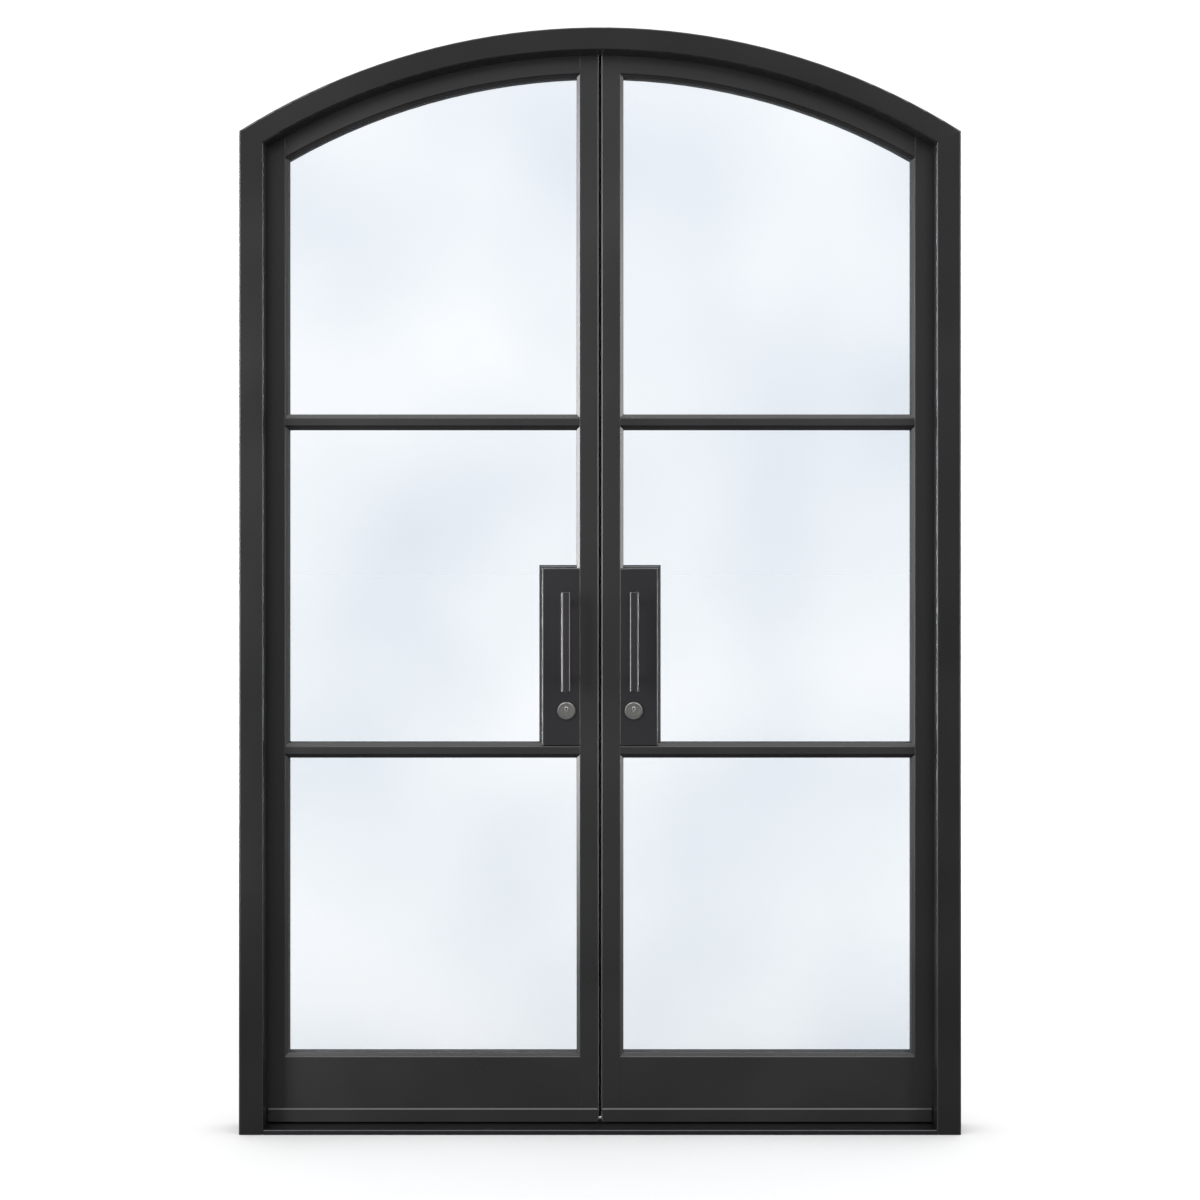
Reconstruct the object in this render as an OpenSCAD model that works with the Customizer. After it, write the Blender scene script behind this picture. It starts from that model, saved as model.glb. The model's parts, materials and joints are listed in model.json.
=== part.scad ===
// Pair of arched steel french doors with their frame.
// X runs along the wall, Y from the street side to the room side, Z up.
// The origin is the middle of the threshold's underside, half way through the frame's depth.

/* [Frame] */
// Outer width of the frame
overall_w = 1590; // [1300:10:1950]
// Outer height of the frame at the crown
overall_h = 2438; // [2300:1:2950]
// Rise of the arched head above its springing
rise = 228.6; // [120:0.1:300]
// Face width of a jamb, stop included
jamb_face = 54; // [46:1:70]
// Face width of the head, stop included
head_face = 51; // [44:1:70]
// Width of the stop that stands in front of the leaves
stop_w = 14; // [11:1:20]
// Depth of the stop, from the frame's street face to the weather seal's face
stop_d = 58; // [30:1:80]
// Wall of the formed frame profile
frame_wall = 2.5; // [2:0.5:4]
// Corner radius of the frame profile's street edges
frame_edge_r = 4; // [2:0.5:6]

/* [Threshold] */
// Height of the threshold
sill_h = 12; // [10:1:20]
// Skin of the threshold extrusion
sill_skin = 3; // [2:0.5:3.5]
// Half width of the threshold's middle rib
sill_rib = 6; // [4:1:10]

/* [Leaves] */
// Thickness of a leaf
leaf_t = 45; // [40:1:60]
// Gap between leaf and jamb, and between leaf and head
edge_gap = 4; // [3:0.5:6]
// Gap between the two leaves
centre_gap = 6; // [5:0.5:10]
// Gap between leaf and threshold
floor_gap = 4; // [3:0.5:8]
// Gap between stop and leaf, which the weather seal fills
seal_gap = 2; // [1.5:0.1:4]
// Width of the meeting stile
meeting_w = 42; // [38:1:60]
// Width of the hinge stile, part of it behind the stop
hinge_stile_w = 50; // [44:1:70]
// Width of the arched top rail, part of it behind the stop
top_rail_w = 50; // [44:1:80]
// Height of the bottom rail
bottom_rail_h = 143.5; // [100:0.5:200]
// Wall of the stiles and rails
leaf_wall = 2; // [1.5:0.5:3]
// Corner radius of the stiles and rails
tube_r = 3; // [2:0.5:5]
// Corner radius where a stile borders the glass
glass_edge_r = 0.8; // [0.5:0.1:2]

/* [Glazing bars] */
// Width of a glazing bar
bar_w = 20; // [16:1:30]
// Height of the lower bar's middle
lower_bar_z = 840; // [700:1:860]
// Height of the upper bar's middle
upper_bar_z = 1571.5; // [1420:0.5:1700]

/* [Glazing] */
// Visible width of the glazing bead
bead_w = 6.5; // [5:0.5:12]
// How far a bead's edge lies behind the leaf's face
bead_recess = 3; // [1:0.5:5]
// How much deeper the bead lies at the glass
bead_slope = 2.5; // [1:0.5:5]
// Thickness of one pane
pane_t = 4; // [3:0.5:6]
// Air space between the panes
pane_space = 12; // [8:1:16]
// Room round the panes
pane_clear = 2.5; // [2:0.5:4]
// Face width of the edge spacer between the panes
spacer_w = 3.5; // [3:0.5:8]

/* [Lock box] */
// Width of the lock box beside the meeting stile
box_w = 84; // [82:1:120]
// Height of the lock box above the lower bar
box_h = 396; // [380:1:460]
// Wall of the lock box
box_wall = 3; // [2:0.5:4]
// Distance of the pull and the key from the leaf's edge
backset = 72; // [70:1:74]

/* [Pull handles] */
// Length of the pull bar
pull_len = 219; // [180:1:240]
// Width of the pull bar
pull_w = 21; // [16:1:26]
// Depth of the pull bar
pull_t = 16; // [12:1:22]
// Clear room for fingers behind the bar
pull_reach = 38; // [32:1:45]
// Height of the pull's middle above the lower bar
pull_up = 234.5; // [220:0.5:270]
// Distance of a post from the bar's end
post_in = 25; // [15:1:30]
// Diameter of a post
post_d = 12; // [10:1:16]
// Diameter of the through stud
stud_d = 8; // [6:1:8]

/* [Locks] */
// Height of the key cylinder above the lower bar
key_up = 78; // [74:1:82]
// Diameter of the cylinder's collar
collar_d = 39.6; // [34:0.2:44]
// How far the collar stands out
collar_t = 7; // [5:0.5:10]
// Diameter of the cylinder's body
body_d = 29; // [24:0.5:30]
// Diameter of the key plug
plug_d = 12.6; // [10:0.2:15]
// How far the plug sits above the cylinder's middle
plug_up = 4.4; // [2:0.2:6]
// Thickness of the lock case
case_t = 16; // [14:1:20]
// Height of the lock case
case_h = 110; // [100:1:112]
// Throw of the deadbolt
bolt_throw = 20; // [15:1:22]
// Thickness and height of the deadbolt
bolt_size = [10, 24];
// Diameter of the shoot bolts
rod_d = 10; // [8:0.5:12]
// Distance of the shoot bolts from the leaf's edge
rod_in = 27; // [26:1:30]
// Throw of the top shoot bolt
top_throw = 20; // [15:1:24]
// Throw of the bottom shoot bolt
bottom_throw = 13; // [10:0.5:13]

/* [Hinges] */
// Diameter of a hinge barrel
barrel_d = 18; // [16:1:24]
// Length of a hinge, both halves
barrel_h = 100; // [80:1:140]
// Diameter of the hinge pin
pin_d = 12; // [10:0.5:13]
// Gap between a barrel and the faces that it turns past
barrel_gap = 1; // [0.5:0.1:2]
// Distance of the lowest and the highest hinge from the leaf's corners
hinge_in = 214; // [150:1:300]

/* [Anchors] */
// Diameter of an anchor hole in the jambs
anchor_d = 9; // [6:0.5:12]
// Distance from one anchor hole to the next
anchor_pitch = 600; // [400:10:700]
// Height of the lowest anchor hole
anchor_z = 300; // [150:10:350]
// Least distance of the highest anchor hole from the jamb's top corner
anchor_end = 100; // [60:10:200]

/* [Hidden] */

// Segments of small round shapes, of the wide arch, and facets round the edges of what is swept along it
$fn = 64;
ARCH_FN = 360;
SWEPT_FN = 12;
// Gap between pieces that are joined face to face
JOINT = 0.1;
// How far a cutter runs past what it cuts
OVER = 1;
// Room between a seal's tip and the piece that moves past it, and from the doors' middle to a seal whose
// twin on the other leaf touches it
SEAL_AIR = 0.3;
SEAL_MEET = 0.03;
// Radial clearance of a turning or sliding shaft, and of a pressed pin
RUN = 0.05;
PRESS = 0.02;

STEEL = "#2e2e30";
RUBBER = "#141414";
GLASS = [0.88, 0.93, 0.96, 0.4];
KEYMETAL = "#8a8a8a";

// Depths, from the street side to the room side
frame_d = stop_d + seal_gap + leaf_t;
y_front = -frame_d / 2;
y_stop = y_front + stop_d;
leaf_y0 = y_stop + seal_gap;
leaf_y1 = leaf_y0 + leaf_t;
leaf_mid = (leaf_y0 + leaf_y1) / 2;

// Arch, all its curves round one centre
arch_r = (pow(overall_w / 2, 2) + rise * rise) / (2 * rise);
arch_z = overall_h - arch_r;
arch_half = asin(overall_w / 2 / arch_r) + 2;
stop_r = arch_r - head_face;
rebate_r = stop_r + stop_w;
leaf_r = rebate_r - edge_gap;
rail_r = leaf_r - top_rail_w;
function arch_at(r, x) = arch_z + sqrt(r * r - x * x);

// Edges of the right leaf, and of its glass openings
stop_x = overall_w / 2 - jamb_face;
rebate_x = stop_x + stop_w;
leaf_x0 = centre_gap / 2;
leaf_x1 = rebate_x - edge_gap;
leaf_z0 = sill_h + floor_gap;
glass_x0 = leaf_x0 + meeting_w;
glass_x1 = leaf_x1 - hinge_stile_w;
rail_top = leaf_z0 + bottom_rail_h;
lower_under = lower_bar_z - bar_w / 2;
lower_top = lower_bar_z + bar_w / 2;
upper_under = upper_bar_z - bar_w / 2;
upper_top = upper_bar_z + bar_w / 2;
box_x1 = glass_x0 + box_w;
box_z1 = lower_top + box_h;

// Panes stand in the middle of the leaf
unit_t = 2 * pane_t + pane_space;
pane_y0 = leaf_mid - unit_t / 2;
pane_y1 = leaf_mid + unit_t / 2;
bead_tape = 0.5;

// Hardware
lock_x = leaf_x0 + backset;
key_z = lower_top + key_up;
plug_z = key_z + plug_up;
pull_z = lower_top + pull_up;
post_span = pull_len - 2 * post_in;
case_z0 = key_z - 53;
case_x1 = lock_x + 25;
case_wall = 2;
face_t = 2;
face_w = 22;
face_h = case_h + 50;
face_z = case_z0 + case_h / 2;
rod_x = leaf_x0 + rod_in;
rod_bore = rod_d + 4 * RUN;
key_slot = [2.2, 8.6];
spindle_d = 8;
hub_d = 16;
rod_hold = 10;
keeper_d = rod_d + 8;
keeper_bore = rod_d + 1.2;
keeper_wall = 1;
strike_room = 1;
bolt_tail = 32;
top_tip = arch_at(leaf_r, rod_x) - 2;
bottom_tip = leaf_z0 + 1;
hinge_x = (leaf_x1 + rebate_x) / 2;
hinge_y = leaf_y1 + barrel_gap + barrel_d / 2;
hinge_low = leaf_z0 + hinge_in;
hinge_high = arch_at(leaf_r, leaf_x1) - hinge_in;
hinge_z = [hinge_low, (hinge_low + hinge_high) / 2, hinge_high];
wing_w = 25;
wing_t = 6;
washer_t = 1.8;

// ---------------------------------------------------------------- shaping helpers

// Outline in X and Z, extruded from y0 to y1
module upright(y0, y1) {
  translate([0, y1, 0])
    rotate([90, 0, 0])
      linear_extrude(y1 - y0)
        children();
}

// Outline in Y and Z, extruded from x0 to x1
module along_x(x0, x1) {
  translate([x0, 0, 0])
    rotate([90, 0, 90])
      linear_extrude(x1 - x0)
        children();
}

// Cylinder along Y from y0 to y1
module rod_y(d, y0, y1) {
  translate([0, y1, 0])
    rotate([90, 0, 0])
      cylinder(d = d, h = y1 - y0);
}

// Cylinder along X from x0 to x1
module rod_x(d, x0, x1) {
  translate([x0, 0, 0])
    rotate([0, 90, 0])
      cylinder(d = d, h = x1 - x0);
}

// Box from one corner to the other
module box(low, high) {
  translate(low)
    cube(high - low);
}

// What is cut off a square corner to round it
module corner_cut(r) {
  difference() {
    translate([-OVER, -OVER])
      square(r + OVER);
    translate([r, r])
      circle(r);
  }
}

// Rectangle with a radius of its own at each corner, from the origin anticlockwise
module rounded(w, h, radii) {
  difference() {
    square([w, h]);
    corner_cut(radii[0]);
    translate([w, 0]) mirror([1, 0]) corner_cut(radii[1]);
    translate([w, h]) rotate(180) corner_cut(radii[2]);
    translate([0, h]) mirror([0, 1]) corner_cut(radii[3]);
  }
}

// A section whose X is the distance from the arch's centre and whose Y is depth, swept round the arch
module arch_sweep(half = arch_half) {
  translate([0, 0, arch_z])
    rotate([90, 0, 0])
      rotate_extrude(angle = 2 * half, start = 90 - half, $fn = ARCH_FN)
        mirror([0, 1])
          children();
}

// Everything from z0 up to the arch of radius r, between x0 and x1
module under_arch(r, x0, x1, z0) {
  y0 = y_front - OVER;
  y1 = leaf_y1 + OVER;
  intersection() {
    box([x0, y0, z0], [x1, y1, overall_h]);
    union() {
      translate([0, 0, arch_z])
        rod_y(2 * r, y0 - OVER, y1 + OVER, $fn = ARCH_FN);
      box([x0 - OVER, y0 - OVER, z0 - OVER], [x1 + OVER, y1 + OVER, max(arch_z, z0)]);
    }
  }
}

module on_left() {
  mirror([1, 0, 0])
    children();
}

module on_both() {
  children();
  on_left() children();
}

// ---------------------------------------------------------------- frame

// Section of the frame profile: X from its outer face, Y from the street
module frame_section(face, wall) {
  deep = face - stop_w;
  inner_r = max(frame_edge_r - wall, 0.5);
  r = wall == 0 ? frame_edge_r : inner_r;
  translate([wall, wall])
    rounded(face - 2 * wall, stop_d - 2 * wall, [r, r, glass_edge_r, glass_edge_r]);
  translate([wall, wall + frame_edge_r])
    square([deep - 2 * wall, frame_d - 2 * wall - frame_edge_r]);
}

module frame_profile(face) {
  difference() {
    frame_section(face, 0);
    frame_section(face, frame_wall);
  }
}

// Corners where jamb and head are mitred
mitre_out = [overall_w / 2, arch_at(arch_r, overall_w / 2)];
mitre_in = [stop_x, arch_at(stop_r, stop_x)];
mitre_run = (mitre_out - mitre_in) * 2;
mitre_cross = mitre_in - mitre_run * (stop_x / mitre_run[0]);

module jamb_right() {
  color(STEEL)
    difference() {
      intersection() {
        translate([overall_w / 2, y_front, 0])
          mirror([1, 0, 0])
            linear_extrude(overall_h)
              frame_profile(jamb_face);
        upright(y_front - OVER, leaf_y1 + OVER)
          polygon([
            [mitre_in[0] - mitre_run[0], 0], [overall_w, 0],
            mitre_out + mitre_run - [0, JOINT], mitre_in - mitre_run - [0, JOINT]
          ]);
      }
      for (z = [anchor_z:anchor_pitch:mitre_out[1] - anchor_end])
        translate([0, leaf_mid, z])
          rod_x(anchor_d, rebate_x - OVER, overall_w / 2 + OVER);
    }
}

module head_arch() {
  color(STEEL)
    difference() {
      intersection() {
        arch_sweep()
          translate([arch_r, y_front])
            mirror([1, 0])
              frame_profile(head_face);
        upright(y_front - OVER, leaf_y1 + OVER)
          polygon([
            mitre_cross, mitre_out + mitre_run, [overall_w, overall_h + 10],
            [-overall_w, overall_h + 10], [-mitre_out[0] - mitre_run[0], mitre_out[1] + mitre_run[1]]
          ]);
      }
      translate([-rod_x, leaf_mid, arch_at(rebate_r, rod_x) - 5])
        cylinder(d = keeper_d + 2 * PRESS, h = 15);
    }
}

module threshold() {
  x_stop = stop_x - 2 * JOINT;
  x_rebate = rebate_x - 2 * JOINT;
  edge = 1.5;
  color(STEEL)
    difference() {
      along_x(-x_rebate, x_rebate)
        difference() {
          polygon([
            [y_front, 0], [y_front, sill_h - 2 * edge], [y_front + edge, sill_h - edge],
            [y_stop, sill_h], [leaf_y1, sill_h], [leaf_y1, 0]
          ]);
          translate([y_front + sill_skin, -OVER])
            square([-sill_rib - y_front - sill_skin, sill_h - sill_skin - edge + OVER]);
          translate([sill_rib, -OVER])
            square([leaf_y1 - sill_skin - sill_rib, sill_h - sill_skin + OVER]);
        }
      on_both()
        box([x_stop, y_front - OVER, -OVER], [overall_w, y_stop + 2 * JOINT, sill_h + OVER]);
      translate([-rod_x, leaf_mid, -OVER])
        cylinder(d = keeper_d + 2 * PRESS, h = sill_h + 2 * OVER);
    }
}

// Weather seals on the stop's back: one up each jamb and one round the head
module frame_seals() {
  inset = 1.5;
  width = stop_w - edge_gap - 2 * inset;
  thick = seal_gap - SEAL_AIR - JOINT;
  ease = 0.7;
  top = arch_at(stop_r + inset, stop_x + inset);
  section = [
    [0, 0], [width, 0], [width, thick - ease], [width - ease, thick], [ease, thick], [0, thick - ease]
  ];
  color(RUBBER) {
    on_both()
      translate([stop_x + inset, y_stop + JOINT, sill_h + JOINT])
        linear_extrude(top - sill_h - width / 2)
          polygon(section);
    intersection() {
      arch_sweep()
        translate([stop_r + inset, y_stop + JOINT])
          polygon(section);
      box([-stop_x - inset, y_stop, top - width / 2 + 0.5], [stop_x + inset, leaf_y0, overall_h]);
    }
  }
}

// Cup in the head that takes the top shoot bolt
module head_keeper() {
  low = arch_at(rebate_r, rod_x + keeper_d / 2);
  color(KEYMETAL)
    translate([-rod_x, leaf_mid, low])
      difference() {
        cylinder(d = keeper_d, h = top_throw);
        translate([0, 0, -OVER])
          cylinder(d = keeper_bore, h = top_throw - keeper_wall + OVER);
      }
}

// Cup in the threshold that takes the bottom shoot bolt
module floor_keeper() {
  floor_z = bottom_tip - bottom_throw - 1;
  color(KEYMETAL)
    translate([-rod_x, leaf_mid, floor_z])
      difference() {
        translate([0, 0, -keeper_wall])
          cylinder(d = keeper_d, h = sill_h - floor_z + keeper_wall);
        cylinder(d = keeper_bore, h = sill_h);
      }
}

// ---------------------------------------------------------------- hinges

module at_hinges() {
  for (z = hinge_z)
    translate([hinge_x, hinge_y, z])
      children();
}

// Lower half of each hinge, welded to the frame
module frame_knuckle() {
  edge = 1.5;
  difference() {
    union() {
      translate([0, 0, -barrel_h / 2 + edge])
        cylinder(d = barrel_d, h = barrel_h / 2 - edge - washer_t / 2 - JOINT);
      translate([0, 0, -barrel_h / 2])
        cylinder(d1 = barrel_d - 2 * edge, d2 = barrel_d, h = edge);
      box(
        [1, leaf_y1 + JOINT - hinge_y, -barrel_h / 2 + edge],
        [wing_w, leaf_y1 + wing_t - hinge_y, -washer_t / 2 - edge]
      );
    }
    translate([0, 0, -barrel_h * 0.4])
      cylinder(d = pin_d + 2 * PRESS, h = barrel_h);
  }
}

module frame_hinge_knuckles() {
  color(STEEL)
    on_both() at_hinges() frame_knuckle();
}

module hinge_pins() {
  color(KEYMETAL)
    on_both() at_hinges()
      translate([0, 0, -barrel_h * 0.4 + PRESS])
        cylinder(d = pin_d, h = barrel_h * 0.78);
}

module hinge_washers() {
  color("#a08040")
    on_both() at_hinges()
      translate([0, 0, -washer_t / 2])
        difference() {
          cylinder(d = barrel_d, h = washer_t);
          translate([0, 0, -OVER])
            cylinder(d = pin_d + 0.6, h = washer_t + 2 * OVER);
        }
}

// Upper half of each hinge, welded to the leaf
module hinge_knuckles() {
  edge = 1.5;
  color(STEEL)
    at_hinges()
      difference() {
        union() {
          translate([0, 0, washer_t / 2 + JOINT])
            cylinder(d = barrel_d, h = barrel_h / 2 - edge - washer_t / 2 - JOINT);
          translate([0, 0, barrel_h / 2 - edge])
            cylinder(d1 = barrel_d, d2 = barrel_d - 2 * edge, h = edge);
          box(
            [-wing_w, leaf_y1 + JOINT - hinge_y, washer_t / 2 + edge],
            [-1, leaf_y1 + wing_t - hinge_y, barrel_h / 2 - edge]
          );
        }
        translate([0, 0, -OVER])
          cylinder(d = pin_d + 2 * RUN, h = barrel_h * 0.4 + OVER);
      }
}

// ---------------------------------------------------------------- leaf, drawn for the right side

// Upright tube between x0 and x1, closed at the foot and under the arch
module stile(x0, x1, radii) {
  inner = [for (r = radii) max(r - leaf_wall, 0.3)];
  difference() {
    intersection() {
      translate([x0, leaf_y0, leaf_z0])
        linear_extrude(overall_h - leaf_z0)
          rounded(x1 - x0, leaf_t, radii);
      under_arch(leaf_r, x0 - OVER, x1 + OVER, leaf_z0 - OVER);
    }
    intersection() {
      translate([x0 + leaf_wall, leaf_y0 + leaf_wall, leaf_z0 + leaf_wall])
        linear_extrude(overall_h)
          rounded(x1 - x0 - 2 * leaf_wall, leaf_t - 2 * leaf_wall, inner);
      under_arch(leaf_r - leaf_wall, x0, x1, leaf_z0);
    }
  }
}

module hinge_stile() {
  color(STEEL)
    stile(glass_x1, leaf_x1, [glass_edge_r, tube_r, tube_r, glass_edge_r]);
}

// The meeting stile is cut for the lock's case and face plate, and drilled for the shoot bolts
module meeting_stile(shoot_bolts) {
  fit = 0.2;
  color(STEEL)
    difference() {
      stile(leaf_x0, glass_x0, [tube_r, glass_edge_r, glass_edge_r, tube_r]);
      box(
        [leaf_x0 - OVER, leaf_mid - face_w / 2 - fit, face_z - face_h / 2 - fit],
        [leaf_x0 + leaf_wall + OVER, leaf_mid + face_w / 2 + fit, face_z + face_h / 2 + fit]
      );
      box(
        [glass_x0 - leaf_wall - OVER, leaf_mid - case_t / 2 - fit, case_z0 - fit],
        [glass_x0 + OVER, leaf_mid + case_t / 2 + fit, case_z0 + case_h + fit]
      );
      if (shoot_bolts) {
        translate([rod_x, leaf_mid, leaf_z0 - OVER])
          cylinder(d = rod_bore, h = leaf_wall + 2 * OVER);
        translate([rod_x, leaf_mid, arch_at(leaf_r, rod_x) - 2 * leaf_wall])
          cylinder(d = rod_bore, h = 3 * leaf_wall);
      }
    }
}

module top_rail() {
  color(STEEL)
    difference() {
      intersection() {
        arch_sweep()
          translate([rail_r, leaf_y0])
            rounded(top_rail_w, leaf_t, [tube_r, tube_r, tube_r, tube_r], $fn = SWEPT_FN);
        box([glass_x0 + JOINT, leaf_y0 - OVER, upper_top], [glass_x1 - JOINT, leaf_y1 + OVER, overall_h]);
      }
      intersection() {
        arch_sweep()
          translate([rail_r + leaf_wall, leaf_y0 + leaf_wall])
            rounded(
              top_rail_w - 2 * leaf_wall, leaf_t - 2 * leaf_wall,
              [for (i = [0:3]) max(tube_r - leaf_wall, 0.3)],
              $fn = SWEPT_FN
            );
        box(
          [glass_x0 + leaf_wall, leaf_y0, upper_top],
          [glass_x1 - leaf_wall, leaf_y1, overall_h]
        );
      }
    }
}

// Level tube between the stiles, closed at its ends
module level_tube(z0, z1, radii) {
  inner = [for (r = radii) max(r - leaf_wall, 0.3)];
  difference() {
    along_x(glass_x0 + JOINT, glass_x1 - JOINT)
      translate([leaf_y0, z0])
        rounded(leaf_t, z1 - z0, radii);
    along_x(glass_x0 + leaf_wall, glass_x1 - leaf_wall)
      translate([leaf_y0 + leaf_wall, z0 + leaf_wall])
        rounded(leaf_t - 2 * leaf_wall, z1 - z0 - 2 * leaf_wall, inner);
  }
}

module bottom_rail() {
  color(STEEL)
    level_tube(leaf_z0, rail_top, [glass_edge_r, glass_edge_r, tube_r, tube_r]);
}

module glazing_bars() {
  color(STEEL) {
    level_tube(lower_under, lower_top, [tube_r, tube_r, tube_r, tube_r]);
    level_tube(upper_under, upper_top, [tube_r, tube_r, tube_r, tube_r]);
  }
}

// Welded shell beside the meeting stile, open towards it
module lock_box() {
  x0 = glass_x0 + JOINT;
  z0 = lower_top + JOINT;
  color(STEEL)
    difference() {
      intersection() {
        translate([x0, leaf_y0, z0])
          linear_extrude(box_z1 - z0)
            rounded(box_x1 - x0, leaf_t, [glass_edge_r, tube_r, tube_r, glass_edge_r]);
        along_x(x0 - OVER, box_x1 + OVER)
          translate([leaf_y0, z0])
            rounded(leaf_t, box_z1 - z0, [tube_r, tube_r, tube_r, tube_r]);
      }
      box(
        [x0 - OVER, leaf_y0 + box_wall, z0 + box_wall],
        [box_x1 - box_wall, leaf_y1 - box_wall, box_z1 - box_wall]
      );
      translate([lock_x, 0, key_z])
        rod_y(body_d + 4 * RUN, leaf_y0 - OVER, leaf_y1 + OVER);
      at_posts()
        rod_y(stud_d + 0.6, leaf_y0 - OVER, leaf_y1 + OVER);
    }
}

// ---------------------------------------------------------------- glazing, drawn for the right side

// Corners of each opening, anticlockwise, taken in by e
function lower_lite(e) = [
  [glass_x0 + e, rail_top + e], [glass_x1 - e, rail_top + e],
  [glass_x1 - e, lower_under - e], [glass_x0 + e, lower_under - e]
];
function middle_lite(e) = [
  [box_x1 + e, lower_top + e], [glass_x1 - e, lower_top + e],
  [glass_x1 - e, upper_under - e], [glass_x0 + e, upper_under - e],
  [glass_x0 + e, box_z1 + e], [box_x1 + e, box_z1 + e]
];
function upper_lite(e) = [
  [glass_x0 + e, upper_top + e], [glass_x1 - e, upper_top + e],
  [glass_x1 - e, arch_at(rail_r - e, glass_x1 - e)],
  [glass_x0 + e, arch_at(rail_r - e, glass_x0 + e)]
];

// Plan of the arched lite, taken in by e, from y0 to y1
module upper_plan(e, y0, y1) {
  intersection() {
    upright(y0, y1)
      polygon([
        upper_lite(e)[0], upper_lite(e)[1], [glass_x1 - e, overall_h], [glass_x0 + e, overall_h]
      ]);
    translate([0, 0, arch_z])
      rod_y(2 * (rail_r - e), y0 - OVER, y1 + OVER, $fn = ARCH_FN);
  }
}

// Section of a bead in depth and distance from the tube: sloped towards the glass
function bead_section(back) =
  back
    ? [
        [pane_y1 + bead_tape, 0], [leaf_y1 - bead_recess, 0],
        [leaf_y1 - bead_recess - bead_slope, bead_w], [pane_y1 + bead_tape, bead_w]
      ]
    : [
        [leaf_y0 + bead_recess, 0], [pane_y0 - bead_tape, 0],
        [pane_y0 - bead_tape, bead_w], [leaf_y0 + bead_recess + bead_slope, bead_w]
      ];

// One straight bead from corner a to corner b, whose inner corners are ia and ib
module bead(a, b, ia, ib, back) {
  run = b - a;
  length = norm(run);
  trim = run / length * JOINT;
  intersection() {
    upright(leaf_y0, leaf_y1)
      polygon([a + trim, b - trim, ib - trim, ia + trim]);
    translate([a[0], 0, a[1]])
      rotate([0, -atan2(run[1], run[0]), 0])
        along_x(0, length)
          translate([0, JOINT])
            polygon(bead_section(back));
  }
}

// Beads along the listed sides of an opening with outer corners p and inner corners q
module bead_sides(p, q, sides, back) {
  for (i = sides) {
    j = (i + 1) % len(p);
    bead(p[i], p[j], q[i], q[j], back);
  }
}

// Curved bead under the arched rail
module arch_bead(back) {
  p = upper_lite(0);
  q = upper_lite(bead_w);
  shift = [JOINT, 0];
  far = 3;
  intersection() {
    arch_sweep()
      translate([rail_r - JOINT, 0])
        polygon([for (s = bead_section(back)) [-s[1], s[0]]]);
    upright(leaf_y0, leaf_y1)
      polygon([
        q[3] + (q[3] - p[3]) * far + shift, q[2] + (q[2] - p[2]) * far - shift,
        p[2] + (p[2] - q[2]) * far - shift, [p[2][0] + bead_w * far, overall_h],
        [p[3][0] - bead_w * far, overall_h], p[3] + (p[3] - q[3]) * far + shift
      ]);
  }
}

module beads(back) {
  middle = middle_lite(0);
  middle_in = middle_lite(bead_w);
  // The beads of the middle lite stop square against the lock box
  ends = [
    [box_x1, lower_top + bead_w], middle_in[1], middle_in[2], middle_in[3], [glass_x0 + bead_w, box_z1]
  ];
  color(STEEL) {
    bead_sides(lower_lite(0), lower_lite(bead_w), [0:3], back);
    bead_sides(middle, ends, [0:3], back);
    bead_sides(upper_lite(0), upper_lite(bead_w), [0, 1, 3], back);
    arch_bead(back);
  }
}

module panes() {
  for (y = [pane_y0, pane_y1 - pane_t])
    translate([0, y, 0])
      children();
}

module glass_lower() {
  color(GLASS)
    panes() upright(0, pane_t) polygon(lower_lite(pane_clear));
}

module glass_middle() {
  color(GLASS)
    panes() upright(0, pane_t) polygon(middle_lite(pane_clear));
}

module glass_upper() {
  color(GLASS)
    panes() upper_plan(pane_clear, 0, pane_t);
}

// Edge spacers between the panes, and the sealant between glass and lock box
module glazing_seals() {
  y0 = pane_y0 + pane_t + JOINT;
  y1 = pane_y1 - pane_t - JOINT;
  out = pane_clear + 0.5;
  into = out + spacer_w;
  color(RUBBER) {
    upright(y0, y1)
      difference() {
        polygon(lower_lite(out));
        polygon(lower_lite(into));
      }
    upright(y0, y1)
      difference() {
        polygon(middle_lite(out));
        polygon(middle_lite(into));
      }
    difference() {
      upper_plan(out, y0, y1);
      upper_plan(into, y0 - OVER, y1 + OVER);
    }
    upright(pane_y0, pane_y1)
      polygon([
        [box_x1 + JOINT, lower_top + JOINT], [box_x1 + pane_clear - JOINT, lower_top + JOINT],
        [box_x1 + pane_clear - JOINT, box_z1 + pane_clear - JOINT],
        [glass_x0 + JOINT, box_z1 + pane_clear - JOINT],
        [glass_x0 + JOINT, box_z1 + JOINT], [box_x1 + JOINT, box_z1 + JOINT]
      ]);
  }
}

// ---------------------------------------------------------------- edges of the leaf

// Folded drip strip along the foot of the leaf's street face
module drip_bar() {
  proud = 6.5;
  height = 29;
  thick = 3;
  color(STEEL)
    along_x(leaf_x0 + 2, stop_x - 3)
      polygon([
        [leaf_y0 - JOINT, leaf_z0], [leaf_y0 - JOINT, leaf_z0 + height],
        [leaf_y0 - proud + thick, leaf_z0 + height], [leaf_y0 - proud, leaf_z0 + height - thick],
        [leaf_y0 - proud, leaf_z0 - 1], [leaf_y0 - proud + thick, leaf_z0 - 1],
        [leaf_y0 - proud + thick, leaf_z0]
      ]);
}

// Twin-lipped sweep under the leaf, from the doors' middle to the hinge side
module sweep_seal() {
  lip = 1.5;
  width = 10;
  low = sill_h + SEAL_AIR;
  color(RUBBER)
    along_x(SEAL_MEET, leaf_x1 - 2)
      translate([leaf_y0 + 4, 0])
        polygon([
          [0, leaf_z0 - JOINT], [0, low], [lip, low], [lip, leaf_z0 - lip],
          [width - lip, leaf_z0 - lip], [width - lip, low], [width, low], [width, leaf_z0 - JOINT]
        ]);
}

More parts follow.
